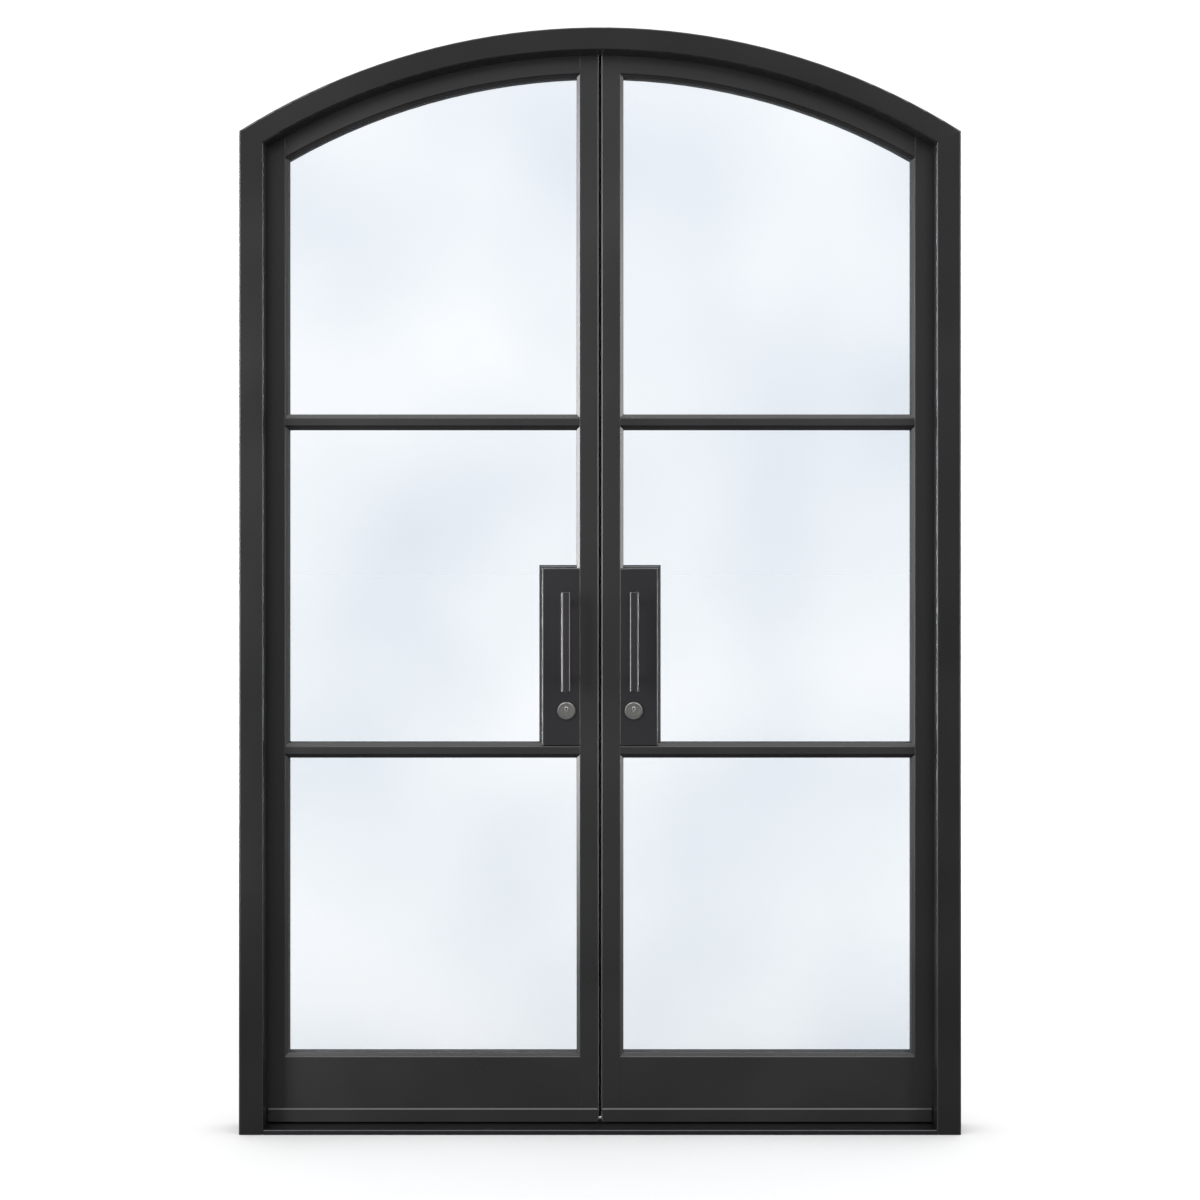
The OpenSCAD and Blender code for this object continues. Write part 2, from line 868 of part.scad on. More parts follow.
// Lip seal down the leaf's meeting edge, behind the lock's face plate. It laps its twin, and the lip on the
// leaf that opens first lies nearer the room.
module meeting_seal(first) {
  width = 2.8;
  lap = 0.6;
  apart = 0.4;
  foot = leaf_z0 - JOINT;
  top = arch_at(leaf_r, leaf_x0) + edge_gap / 2;
  color(RUBBER)
    translate([-lap, leaf_y1 - tube_r - (first ? width : 2 * width + apart), foot])
      linear_extrude(top - foot)
        rounded(centre_gap / 2 - JOINT + lap, width, [1, 0.2, 0.2, 1]);
}

// ---------------------------------------------------------------- pulls

module at_posts() {
  for (end = [-1, 1])
    translate([lock_x, 0, pull_z + end * post_span / 2])
      children();
}

// Bar with two posts and their roses, for the face at y = 0, standing out towards -Y
module pull_bar() {
  soft = 5;
  back_r = 2;
  edge = 1.5;
  rose_d = post_d + 6;
  translate([lock_x - pull_w / 2, -pull_reach - pull_t, pull_z - pull_len / 2])
    intersection() {
      linear_extrude(pull_len)
        rounded(pull_w, pull_t, [soft, soft, back_r, back_r]);
      along_x(-OVER, pull_w + OVER)
        rounded(pull_t, pull_len, [edge, 0.3, 0.3, edge]);
    }
  at_posts() {
    rod_y(post_d, -pull_reach - 4, -JOINT);
    rod_y(rose_d, -2, -JOINT);
  }
}

// The outside pull carries the studs that run through the lock box
module pull_outside() {
  color(STEEL)
    translate([0, leaf_y0, 0]) {
      pull_bar();
      at_posts() rod_y(stud_d, -OVER, leaf_t + 12);
    }
}

module pull_inside() {
  color(STEEL)
    translate([0, leaf_y1, 0])
      difference() {
        mirror([0, 1, 0]) pull_bar();
        at_posts() rod_y(stud_d + 2 * RUN, -OVER, 14);
      }
}

// ---------------------------------------------------------------- locks

// Mortise cylinder: turned collar on the street face, body into the lock case
module key_cylinder() {
  rim = 2.5;
  dish = 1;
  case_face = leaf_mid - case_t / 2 + case_wall;
  color(KEYMETAL)
    translate([lock_x, 0, key_z])
      difference() {
        union() {
          rod_y(collar_d, leaf_y0 - collar_t + 2, leaf_y0 - JOINT);
          translate([0, leaf_y0 - collar_t + 2, 0])
            rotate([90, 0, 0])
              cylinder(d1 = collar_d, d2 = collar_d - 4, h = 2);
          rod_y(body_d, leaf_y0 - 1, case_face);
        }
        rod_y(collar_d - 4 - 2 * rim, leaf_y0 - collar_t - OVER, leaf_y0 - collar_t + dish);
        translate([0, 0, plug_up])
          rod_y(plug_d + 2 * RUN, leaf_y0 - collar_t - OVER, leaf_y1);
      }
}

// Turning plug with its keyway and the flat tail that works the lock
module key_plug() {
  face_y = leaf_y0 - collar_t + 0.4;
  end_y = leaf_mid - case_t / 2 + case_wall;
  color("#c0c0c0")
    translate([lock_x, 0, plug_z]) {
      difference() {
        rod_y(plug_d, face_y, end_y);
        box([-key_slot[0] / 2, face_y - OVER, -key_slot[1] / 2], [key_slot[0] / 2, face_y + 14, key_slot[1] / 2]);
      }
      box([-1.5, end_y - 1, -4], [1.5, end_y + 4, 4]);
    }
}

// Collar on the room face that carries the thumbturn
module turn_rose() {
  case_back = leaf_mid + case_t / 2 - case_wall;
  color(STEEL)
    translate([lock_x, 0, key_z])
      difference() {
        union() {
          rod_y(collar_d, leaf_y1 + JOINT, leaf_y1 + collar_t - 1.5);
          translate([0, leaf_y1 + collar_t - 1.5, 0])
            rotate([-90, 0, 0])
              cylinder(d1 = collar_d, d2 = collar_d - 3, h = 1.5);
          rod_y(body_d, case_back, leaf_y1 + 1);
        }
        rod_y(spindle_d + 2 * RUN, leaf_mid, leaf_y1 + collar_t + OVER);
      }
}

// Oval turn on its spindle, with the hub that works the bolts
module thumbturn() {
  turn = [34, 11, 14];
  base_y = leaf_y1 + collar_t + 1;
  hub_y = leaf_mid + case_t / 2 - case_wall - 1;
  color(STEEL)
    translate([lock_x, 0, key_z]) {
      rod_y(spindle_d, hub_y - 1, base_y + 1);
      rod_y(hub_d, hub_y - 4, hub_y);
      rod_y(16, base_y, base_y + 3);
      translate([0, base_y + 2, 0])
        rotate([-90, 0, 0])
          linear_extrude(turn[2])
            translate([-turn[1] / 2, -turn[0] / 2])
              rounded(turn[1], turn[0], [for (i = [0:3]) turn[1] / 2 - 0.1]);
    }
}

// Lock case behind its face plate, let into the meeting stile and the lock box
module lock_case(shoot_bolts) {
  slot = shoot_bolts ? strike_room : 2 * RUN;
  bolt_y = bolt_size[0] / 2 + slot;
  bolt_z = bolt_size[1] / 2 + slot;
  color(KEYMETAL)
    difference() {
      union() {
        box(
          [leaf_x0, leaf_mid - face_w / 2, face_z - face_h / 2],
          [leaf_x0 + face_t, leaf_mid + face_w / 2, face_z + face_h / 2]
        );
        box(
          [leaf_x0, leaf_mid - case_t / 2, case_z0],
          [case_x1, leaf_mid + case_t / 2, case_z0 + case_h]
        );
      }
      box(
        [leaf_x0 + face_t, leaf_mid - case_t / 2 + case_wall, case_z0 + case_wall],
        [case_x1 - case_wall, leaf_mid + case_t / 2 - case_wall, case_z0 + case_h - case_wall]
      );
      box([0, leaf_mid - bolt_y, key_z - bolt_z], [leaf_x0 + face_t + OVER, leaf_mid + bolt_y, key_z + bolt_z]);
      translate([lock_x, 0, key_z])
        rod_y(body_d + 4 * RUN, leaf_y0, leaf_y1);
      if (shoot_bolts)
        translate([rod_x, leaf_mid, case_z0 - OVER])
          cylinder(d = rod_bore, h = case_h + 2 * OVER);
    }
}

module deadbolt() {
  color(KEYMETAL)
    box(
      [leaf_x0 + 0.3, leaf_mid - bolt_size[0] / 2, key_z - bolt_size[1] / 2],
      [leaf_x0 + bolt_throw + bolt_tail, leaf_mid + bolt_size[0] / 2, key_z + bolt_size[1] / 2]
    );
}

// Shoot bolt from its eased tip to its other end inside the lock case
module shoot_bolt(tip, end) {
  ease = 1;
  length = abs(end - tip);
  color(KEYMETAL)
    translate([-rod_x, leaf_mid, tip])
      mirror([0, 0, end < tip ? 1 : 0])
        union() {
          cylinder(d1 = rod_d - 2 * ease, d2 = rod_d, h = ease);
          translate([0, 0, ease])
            cylinder(d = rod_d, h = length - ease);
        }
}

module top_shoot_bolt() {
  shoot_bolt(top_tip, case_z0 + case_h - case_wall - rod_hold);
}

module bottom_shoot_bolt() {
  shoot_bolt(bottom_tip, case_z0 + case_wall + rod_hold);
}

// ---------------------------------------------------------------- nodes

on_left() jamb_right();  // jamb_left
jamb_right();
head_arch();
threshold();
frame_seals();
head_keeper();
floor_keeper();
frame_hinge_knuckles();
hinge_pins();
hinge_washers();
on_left() hinge_stile();  // left_hinge_stile
on_left() meeting_stile(true);  // left_meeting_stile
on_left() top_rail();  // left_top_rail
on_left() bottom_rail();  // left_bottom_rail
on_left() glazing_bars();  // left_glazing_bars
on_left() lock_box();  // left_lock_box
on_left() beads(false);  // left_front_beads
on_left() beads(true);  // left_back_beads
on_left() glass_upper();  // left_glass_upper
on_left() glass_middle();  // left_glass_middle
on_left() glass_lower();  // left_glass_lower
on_left() glazing_seals();  // left_glazing_seals
on_left() drip_bar();  // left_drip_bar
on_left() sweep_seal();  // left_sweep_seal
on_left() meeting_seal(false);  // left_meeting_seal
on_left() hinge_knuckles();  // left_hinge_knuckles
on_left() pull_outside();  // left_pull_outside
on_left() pull_inside();  // left_pull_inside
on_left() key_cylinder();  // left_key_cylinder
on_left() turn_rose();  // left_turn_rose
on_left() lock_case(true);  // left_lock_case
on_left() key_plug();  // left_key_plug
on_left() thumbturn();  // left_thumbturn
top_shoot_bolt();
bottom_shoot_bolt();
hinge_stile();  // right_hinge_stile
meeting_stile(false);  // right_meeting_stile
top_rail();  // right_top_rail
bottom_rail();  // right_bottom_rail
glazing_bars();  // right_glazing_bars
lock_box();  // right_lock_box
beads(false);  // right_front_beads
beads(true);  // right_back_beads
glass_upper();  // right_glass_upper
glass_middle();  // right_glass_middle
glass_lower();  // right_glass_lower
glazing_seals();  // right_glazing_seals
drip_bar();  // right_drip_bar
sweep_seal();  // right_sweep_seal
meeting_seal(true);  // right_meeting_seal
hinge_knuckles();  // right_hinge_knuckles
pull_outside();  // right_pull_outside
pull_inside();  // right_pull_inside
key_cylinder();  // right_key_cylinder
turn_rose();  // right_turn_rose
lock_case(false);  // right_lock_case
key_plug();  // right_key_plug
thumbturn();  // right_thumbturn
deadbolt();
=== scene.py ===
"""Arched steel french doors: finishes, glazing, lock and weld details, and a studio, round the CAD frame."""
import json
import logging
import math
from dataclasses import dataclass, field
from enum import Enum

import bmesh
import bpy
from mathutils import Matrix, Vector

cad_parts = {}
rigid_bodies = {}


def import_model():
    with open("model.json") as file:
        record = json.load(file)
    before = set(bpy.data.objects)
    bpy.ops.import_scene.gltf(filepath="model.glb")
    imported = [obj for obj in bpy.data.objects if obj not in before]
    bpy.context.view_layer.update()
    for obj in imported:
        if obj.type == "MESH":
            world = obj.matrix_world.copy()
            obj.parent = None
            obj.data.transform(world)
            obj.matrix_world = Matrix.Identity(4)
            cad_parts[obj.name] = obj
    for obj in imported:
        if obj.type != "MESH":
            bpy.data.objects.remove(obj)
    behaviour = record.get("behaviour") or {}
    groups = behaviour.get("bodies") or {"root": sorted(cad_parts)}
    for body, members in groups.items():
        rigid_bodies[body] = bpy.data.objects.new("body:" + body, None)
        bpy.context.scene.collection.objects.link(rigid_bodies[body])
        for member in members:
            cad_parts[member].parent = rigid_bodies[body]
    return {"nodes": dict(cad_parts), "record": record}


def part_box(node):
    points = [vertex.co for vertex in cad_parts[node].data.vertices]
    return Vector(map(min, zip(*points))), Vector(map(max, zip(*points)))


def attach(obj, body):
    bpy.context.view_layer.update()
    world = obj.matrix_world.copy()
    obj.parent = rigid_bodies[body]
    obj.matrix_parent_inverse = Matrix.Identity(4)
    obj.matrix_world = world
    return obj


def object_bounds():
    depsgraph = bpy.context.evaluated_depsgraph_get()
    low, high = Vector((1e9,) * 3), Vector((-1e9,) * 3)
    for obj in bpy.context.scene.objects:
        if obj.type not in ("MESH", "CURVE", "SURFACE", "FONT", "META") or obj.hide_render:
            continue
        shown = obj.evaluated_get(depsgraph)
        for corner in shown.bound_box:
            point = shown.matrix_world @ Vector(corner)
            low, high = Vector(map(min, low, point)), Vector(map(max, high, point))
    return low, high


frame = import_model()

CAD_LOW, CAD_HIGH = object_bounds()
LOG = logging.getLogger("french_doors")
MM = 0.001

Colour = tuple[float, float, float, float]
# A point in X and Z, the radius and height of a profile's point, or the width and height of a lamp
Flat = tuple[float, float]


# ---------------------------------------------------------------- helpers


def srgb(code: str) -> Colour:
    """Turns an sRGB hex colour to linear RGBA.

    Args:
        code: The colour, such as "#2A2A2B".

    Returns:
        Its linear red, green, blue and an alpha of 1.
    """
    shares = [int(code[i:i + 2], 16) / 255 for i in (1, 3, 5)]
    red, green, blue = (s / 12.92 if s <= 0.04045 else ((s + 0.055) / 1.055) ** 2.4 for s in shares)
    return red, green, blue, 1.0


def add_node(
    tree: bpy.types.NodeTree, kind: str, inputs: dict[str | int, object] | None = None, **settings: object
) -> bpy.types.Node:
    """Adds a node with its settings, values and links.

    Args:
        tree: The shader or geometry tree that gets the node.
        kind: The node's type, such as "ShaderNodeBump".
        inputs: Value or source socket of each input, by the input's name or number.
        **settings: The node's own properties.

    Returns:
        The node.
    """
    node = tree.nodes.new(kind)
    for name, value in settings.items():
        setattr(node, name, value)
    for key, value in (inputs or {}).items():
        if isinstance(value, bpy.types.NodeSocket):
            tree.links.new(value, node.inputs[key])
        else:
            node.inputs[key].default_value = value
    return node


def mesh_object(name: str, mesh: bpy.types.Mesh) -> bpy.types.Object:
    """Links a new object that holds the mesh, with its place in the mesh, and returns it."""
    made = bpy.data.objects.new(name, mesh)
    bpy.context.scene.collection.objects.link(made)
    return made


def lathe(profile: list[Flat], segments: int, place: Matrix) -> bmesh.types.BMesh:
    """Turns a profile round the Z axis into a closed shape.

    Args:
        profile: Radius and height of each point, from one end of the axis to the other.
        segments: Number of sides.
        place: Where the shape goes.

    Returns:
        The shape, with its faces outwards.
    """
    shape = bmesh.new()
    rings = []
    for radius, height in profile:
        count = segments if radius > 0 else 1
        angles = [2 * math.pi * i / count for i in range(count)]
        rings.append([shape.verts.new((radius * math.cos(a), radius * math.sin(a), height)) for a in angles])
    for low, high in zip(rings, rings[1:]):
        for i in range(segments):
            j = i + 1
            corners = [low[i % len(low)], low[j % len(low)], high[j % len(high)], high[i % len(high)]]
            shape.faces.new(list(dict.fromkeys(corners)))
    bmesh.ops.recalc_face_normals(shape, faces=shape.faces)
    shape.transform(place)
    if place.determinant() < 0:
        bmesh.ops.reverse_faces(shape, faces=shape.faces)
    return shape


def to_mesh(name: str, shapes: list[bmesh.types.BMesh], smooth_under: float = 35.0) -> bpy.types.Mesh:
    """Joins shapes into one mesh that is smooth at its blunt edges.

    Args:
        name: The mesh's name.
        shapes: The shapes, which are freed.
        smooth_under: Largest angle of a smooth edge, in degrees.

    Returns:
        The mesh.
    """
    whole = bmesh.new()
    for shape in shapes:
        part = bpy.data.meshes.new("part")
        shape.to_mesh(part)
        shape.free()
        whole.from_mesh(part)
        bpy.data.meshes.remove(part)
    mesh = bpy.data.meshes.new(name)
    whole.to_mesh(mesh)
    whole.free()
    mesh.shade_smooth()
    mesh.set_sharp_from_angle(angle=math.radians(smooth_under))
    return mesh


def path_mesh(name: str, paths: list[list[Vector]], closed: bool) -> bpy.types.Mesh:
    """Makes a mesh of edges alone, one chain for each path, for a geometry tree to follow."""
    points: list[Vector] = []
    edges: list[tuple[int, int]] = []
    for path in paths:
        first = len(points)
        points += path
        last = len(path) if closed else len(path) - 1
        edges += [(first + i, first + (i + 1) % len(path)) for i in range(last)]
    mesh = bpy.data.meshes.new(name)
    mesh.from_pydata(points, edges, [])
    return mesh


# ---------------------------------------------------------------- finishes


@dataclass(frozen=True)
class Finish:
    """A finish that is made at its first use and then shared by its pieces."""

    name: str

    def material(self) -> bpy.types.Material:
        """Returns the finish's material."""
        return bpy.data.materials.get(self.name) or self.make()

    def make(self) -> bpy.types.Material:
        """Makes the material round the finish's own shader."""
        made = bpy.data.materials.new(self.name)
        made.use_nodes = True
        made.node_tree.nodes.clear()
        shader = self.shade(made.node_tree)
        add_node(made.node_tree, "ShaderNodeOutputMaterial", {"Surface": shader.outputs[0]})
        return made

    def shade(self, tree: bpy.types.NodeTree) -> bpy.types.Node:
        """Builds the shader and returns its last node."""
        raise NotImplementedError


@dataclass(frozen=True)
class PowderCoat(Finish):
    """Polyester powder baked on steel: even satin black with a fine peel and faint clouds of thickness."""

    dark: str = "#0F0F10"
    light: str = "#141415"
    ior: float = 1.5
    smoothest: float = 0.27
    roughest: float = 0.33
    # The peel's waves are about 1 mm long on the real coat; they are drawn 3 mm long so that they show
    peel: float = 3 * MM
    cloud: float = 240 * MM

    def shade(self, tree: bpy.types.NodeTree) -> bpy.types.Node:
        """Clouds tint and gloss, and the peel is a bump."""
        where = add_node(tree, "ShaderNodeTexCoord").outputs["Object"]
        cloud = add_node(
            tree, "ShaderNodeTexNoise", {"Vector": where, "Scale": 1 / self.cloud, "Detail": 1.0}
        )
        peel = add_node(tree, "ShaderNodeTexNoise", {"Vector": where, "Scale": 1 / self.peel, "Detail": 1.0})
        gloss = add_node(tree, "ShaderNodeMapRange", {
            "Value": cloud.outputs[0], "From Min": 0.3, "From Max": 0.7,
            "To Min": self.smoothest, "To Max": self.roughest,
        })
        tint = add_node(
            tree, "ShaderNodeMix", {0: cloud.outputs[0], 6: srgb(self.dark), 7: srgb(self.light)},
            data_type="RGBA",
        )
        bump = add_node(
            tree, "ShaderNodeBump", {"Strength": 0.06, "Distance": 0.1 * MM, "Height": peel.outputs[0]}
        )
        return add_node(tree, "ShaderNodeBsdfPrincipled", {
            "Base Color": tint.outputs[2], "Roughness": gloss.outputs[0], "IOR": self.ior,
            "Normal": bump.outputs[0],
        })


@dataclass(frozen=True)
class TurnedMetal(Finish):
    """Metal faced on a lathe: fine rings round one centre a leaf, which break the highlight into arcs."""

    dark: str = "#6B6B69"
    light: str = "#C2C1BC"
    roughness: float = 0.33
    # Tool marks are about 0.2 mm apart; they are drawn 1.3 mm apart so that they show
    pitch: float = 1.3 * MM
    stain: float = 2 * MM
    centre: Flat = (0.0, 0.0)

    def shade(self, tree: bpy.types.NodeTree) -> bpy.types.Node:
        """Rings round the centre, which lies at the same distance to either side of X = 0."""
        where = add_node(tree, "ShaderNodeTexCoord").outputs["Object"]
        axes = add_node(tree, "ShaderNodeSeparateXYZ", {"Vector": where})
        centre_x, centre_z = self.centre
        side = add_node(tree, "ShaderNodeMath", {0: axes.outputs["X"]}, operation="ABSOLUTE")
        across = add_node(tree, "ShaderNodeMath", {0: side.outputs[0], 1: centre_x}, operation="SUBTRACT")
        up = add_node(tree, "ShaderNodeMath", {0: axes.outputs["Z"], 1: centre_z}, operation="SUBTRACT")
        flat = add_node(tree, "ShaderNodeCombineXYZ", {"X": across.outputs[0], "Y": up.outputs[0]})
        reach = add_node(tree, "ShaderNodeVectorMath", {0: flat.outputs[0]}, operation="LENGTH")
        per_metre = 2 * math.pi / self.pitch
        turns = add_node(
            tree, "ShaderNodeMath", {0: reach.outputs["Value"], 1: per_metre}, operation="MULTIPLY"
        )
        rings = add_node(tree, "ShaderNodeMath", {0: turns.outputs[0]}, operation="SINE")
        share = add_node(tree, "ShaderNodeMapRange", {"Value": rings.outputs[0], "From Min": -1.0})
        stain = add_node(
            tree, "ShaderNodeTexNoise", {"Vector": where, "Scale": 1 / self.stain, "Detail": 2.0}
        )
        mixed = add_node(
            tree, "ShaderNodeMath", {0: share.outputs[0], 1: stain.outputs[0]}, operation="MULTIPLY"
        )
        tint = add_node(
            tree, "ShaderNodeMix", {0: mixed.outputs[0], 6: srgb(self.dark), 7: srgb(self.light)},
            data_type="RGBA",
        )
        bump = add_node(
            tree, "ShaderNodeBump", {"Strength": 0.35, "Distance": 0.1 * MM, "Height": share.outputs[0]}
        )
        return add_node(tree, "ShaderNodeBsdfPrincipled", {
            "Base Color": tint.outputs[2], "Metallic": 1.0, "Roughness": self.roughness,
            "Normal": bump.outputs[0],
        })


@dataclass(frozen=True)
class BareMetal(Finish):
    """Rolled, plated or extruded metal: even, with a grain drawn along Z and small stains in the gloss."""

    dark: str = "#8C8C8A"
    light: str = "#A8A8A4"
    smoothest: float = 0.28
    roughest: float = 0.4
    # Draw lines are about 0.3 mm apart; they are drawn 1 mm apart so that they show
    grain: float = 1 * MM
    stain: float = 25 * MM
    stretch: float = 30.0

    def shade(self, tree: bpy.types.NodeTree) -> bpy.types.Node:
        """A noise stretched along Z gives the grain, and a coarser one the stains."""
        where = add_node(tree, "ShaderNodeTexCoord").outputs["Object"]
        drawn = add_node(tree, "ShaderNodeMapping", {"Vector": where, "Scale": (1.0, 1.0, 1 / self.stretch)})
        grain = add_node(
            tree, "ShaderNodeTexNoise", {"Vector": drawn.outputs[0], "Scale": 1 / self.grain, "Detail": 2.0}
        )
        stain = add_node(
            tree, "ShaderNodeTexNoise", {"Vector": where, "Scale": 1 / self.stain, "Detail": 3.0}
        )
        gloss = add_node(tree, "ShaderNodeMapRange", {
            "Value": grain.outputs[0], "To Min": self.smoothest, "To Max": self.roughest,
        })
        tint = add_node(
            tree, "ShaderNodeMix", {0: stain.outputs[0], 6: srgb(self.dark), 7: srgb(self.light)},
            data_type="RGBA",
        )
        bump = add_node(
            tree, "ShaderNodeBump", {"Strength": 0.1, "Distance": 0.05 * MM, "Height": grain.outputs[0]}
        )
        return add_node(tree, "ShaderNodeBsdfPrincipled", {
            "Base Color": tint.outputs[2], "Metallic": 1.0, "Roughness": gloss.outputs[0],
            "Normal": bump.outputs[0],
        })


@dataclass(frozen=True)
class Rubber(Finish):
    """Extruded EPDM: near black and dull, with a fine mottle."""

    dark: str = "#0B0B0B"
    light: str = "#151515"
    roughness: float = 0.72
    ior: float = 1.4
    mottle: float = 4 * MM

    def shade(self, tree: bpy.types.NodeTree) -> bpy.types.Node:
        """One noise for the tint and the bump."""
        where = add_node(tree, "ShaderNodeTexCoord").outputs["Object"]
        mottle = add_node(
            tree, "ShaderNodeTexNoise", {"Vector": where, "Scale": 1 / self.mottle, "Detail": 3.0}
        )
        tint = add_node(
            tree, "ShaderNodeMix", {0: mottle.outputs[0], 6: srgb(self.dark), 7: srgb(self.light)},
            data_type="RGBA",
        )
        bump = add_node(
            tree, "ShaderNodeBump", {"Strength": 0.2, "Distance": 0.1 * MM, "Height": mottle.outputs[0]}
        )
        return add_node(tree, "ShaderNodeBsdfPrincipled", {
            "Base Color": tint.outputs[2], "Roughness": self.roughness, "IOR": self.ior,
            "Normal": bump.outputs[0],
        })


@dataclass(frozen=True)
class CoatedGlass(Finish):
    """Float glass: clear with a cool cast, whose strength drifts over the pane as a painted reflection."""

    clear: str = "#FCFDFE"
    cast: str = "#F6F8FA"
    # Share that a face mirrors seen square on; it rises with the slant, and alike from both sides
    mirror: float = 0.04
    # Schlick's power for that rise
    rise: float = 5.0
    polish: float = 0.01
    # Size of the clouds in which the cast comes and goes over the pane: a painted reflection
    drift: float = 620 * MM

    def shade(self, tree: bpy.types.NodeTree) -> bpy.types.Node:
        """Each face lets light straight through with its cast, which a noise varies over the pane as a
        painted reflection, and mirrors more as it is seen slanted.
        """
        where = add_node(tree, "ShaderNodeTexCoord").outputs["Object"]
        # Painted reflection: a noise moves the colour let through between clear and cast
        drift = add_node(
            tree, "ShaderNodeTexNoise", {"Vector": where, "Scale": 1 / self.drift, "Detail": 1.5}
        )
        share = add_node(
            tree, "ShaderNodeMapRange", {"Value": drift.outputs[0], "From Min": 0.34, "From Max": 0.7}
        )
        tint = add_node(
            tree, "ShaderNodeMix", {0: share.outputs[0], 6: srgb(self.clear), 7: srgb(self.cast)},
            data_type="RGBA",
        )
        through = add_node(tree, "ShaderNodeBsdfTransparent", {"Color": tint.outputs[2]})
        mirror = add_node(
            tree, "ShaderNodeBsdfAnisotropic", {"Color": srgb("#FFFFFF"), "Roughness": self.polish}
        )
        slant = add_node(tree, "ShaderNodeLayerWeight").outputs["Facing"]
        steep = add_node(tree, "ShaderNodeMath", {0: slant, 1: self.rise}, operation="POWER")
        gloss = add_node(tree, "ShaderNodeMapRange", {"Value": steep.outputs[0], "To Min": self.mirror})
        return add_node(
            tree, "ShaderNodeMixShader", {0: gloss.outputs[0], 1: through.outputs[0], 2: mirror.outputs[0]}
        )


@dataclass(frozen=True)
class StudioPaint(Finish):
    """Matt white floor paint: no gloss, so the floor runs into the background without a line."""

    white: str = "#BBBBBB"

    def shade(self, tree: bpy.types.NodeTree) -> bpy.types.Node:
        """One plain colour."""
        return add_node(tree, "ShaderNodeBsdfDiffuse", {"Color": srgb(self.white)})


# ---------------------------------------------------------------- geometry trees


class Socket(Enum):
    """The kinds of input that the trees below take."""

    LENGTH = "NodeSocketFloat"
    COUNT = "NodeSocketInt"
    OBJECT = "NodeSocketObject"
    MATERIAL = "NodeSocketMaterial"


def new_tree(name: str, inputs: dict[str, Socket]) -> tuple[bpy.types.NodeTree, bpy.types.Node]:
    """Starts a geometry tree.

    Args:
        name: The tree's name.
        inputs: Its inputs after the geometry.

    Returns:
        The tree and its input node.
    """
    tree = bpy.data.node_groups.new(name, "GeometryNodeTree")
    tree.interface.new_socket("Path", in_out="INPUT", socket_type="NodeSocketGeometry")
    for label, kind in inputs.items():
        tree.interface.new_socket(label, in_out="INPUT", socket_type=kind.value)
    tree.interface.new_socket("Shape", in_out="OUTPUT", socket_type="NodeSocketGeometry")
    return tree, add_node(tree, "NodeGroupInput")


def end_tree(tree: bpy.types.NodeTree, shape: bpy.types.NodeSocket, finish: bpy.types.NodeSocket) -> None:
    """Ends a tree in Realize Instances and Set Material."""
    real = add_node(tree, "GeometryNodeRealizeInstances", {0: shape})
    dressed = add_node(tree, "GeometryNodeSetMaterial", {"Geometry": real.outputs[0], "Material": finish})
    add_node(tree, "NodeGroupOutput", {0: dressed.outputs[0]})


def spaced(tree: bpy.types.NodeTree, given: bpy.types.Node) -> bpy.types.NodeSocket:
    """Points along each path at the tree's Pitch."""
    path = add_node(tree, "GeometryNodeMeshToCurve", {"Mesh": given.outputs["Path"]})
    return add_node(
        tree, "GeometryNodeResampleCurve",
        {"Curve": path.outputs[0], "Length": given.outputs["Pitch"]}, mode="LENGTH",
    ).outputs[0]


def strip_tree() -> bpy.types.NodeTree:
    """A round strip that follows each path and turns its corners softly."""
    tree = bpy.data.node_groups.get("strip")
    if tree:
        return tree
    tree, given = new_tree("strip", {
        "Radius": Socket.LENGTH, "Corner": Socket.LENGTH, "Sides": Socket.COUNT, "Finish": Socket.MATERIAL,
    })
    path = add_node(tree, "GeometryNodeMeshToCurve", {"Mesh": given.outputs["Path"]})
    soft = add_node(
        tree, "GeometryNodeFilletCurve",
        {"Curve": path.outputs[0], "Radius": given.outputs["Corner"], "Count": 3, "Limit Radius": True},
        mode="POLY",
    )
    ring = add_node(
        tree, "GeometryNodeCurvePrimitiveCircle",
        {"Resolution": given.outputs["Sides"], "Radius": given.outputs["Radius"]},
    )
    swept = add_node(
        tree, "GeometryNodeCurveToMesh",
        {"Curve": soft.outputs[0], "Profile Curve": ring.outputs[0], "Fill Caps": True},
    )
    end_tree(tree, swept.outputs[0], given.outputs["Finish"])
    return tree


def row_tree() -> bpy.types.NodeTree:
    """Copies of one small object, evenly spaced along each path."""
    tree = bpy.data.node_groups.get("row")
    if tree:
        return tree
    tree, given = new_tree("row", {
        "Pitch": Socket.LENGTH, "Item": Socket.OBJECT, "Finish": Socket.MATERIAL,
    })
    item = add_node(tree, "GeometryNodeObjectInfo", {"Object": given.outputs["Item"]})
    row = add_node(tree, "GeometryNodeInstanceOnPoints", {
        "Points": spaced(tree, given), "Instance": item.outputs["Geometry"],
    })
    end_tree(tree, row.outputs[0], given.outputs["Finish"])
    return tree


def weld_tree() -> bpy.types.NodeTree:
    """A fillet weld: overlapping drops along each path, each a little different in size."""
    tree = bpy.data.node_groups.get("weld")
    if tree:
        return tree
    tree, given = new_tree("weld", {
        "Pitch": Socket.LENGTH, "Drop": Socket.LENGTH, "Seed": Socket.COUNT, "Finish": Socket.MATERIAL,
    })
    drop = add_node(
        tree, "GeometryNodeMeshIcoSphere", {"Radius": given.outputs["Drop"], "Subdivisions": 2}
    )
    size = add_node(
        tree, "FunctionNodeRandomValue",
        {"Min": (0.9,) * 3, "Max": (1.1,) * 3, "Seed": given.outputs["Seed"]},
        data_type="FLOAT_VECTOR",
    )
    row = add_node(tree, "GeometryNodeInstanceOnPoints", {
        "Points": spaced(tree, given), "Instance": drop.outputs[0], "Scale": size.outputs[0],
    })
    end_tree(tree, row.outputs[0], given.outputs["Finish"])
    return tree


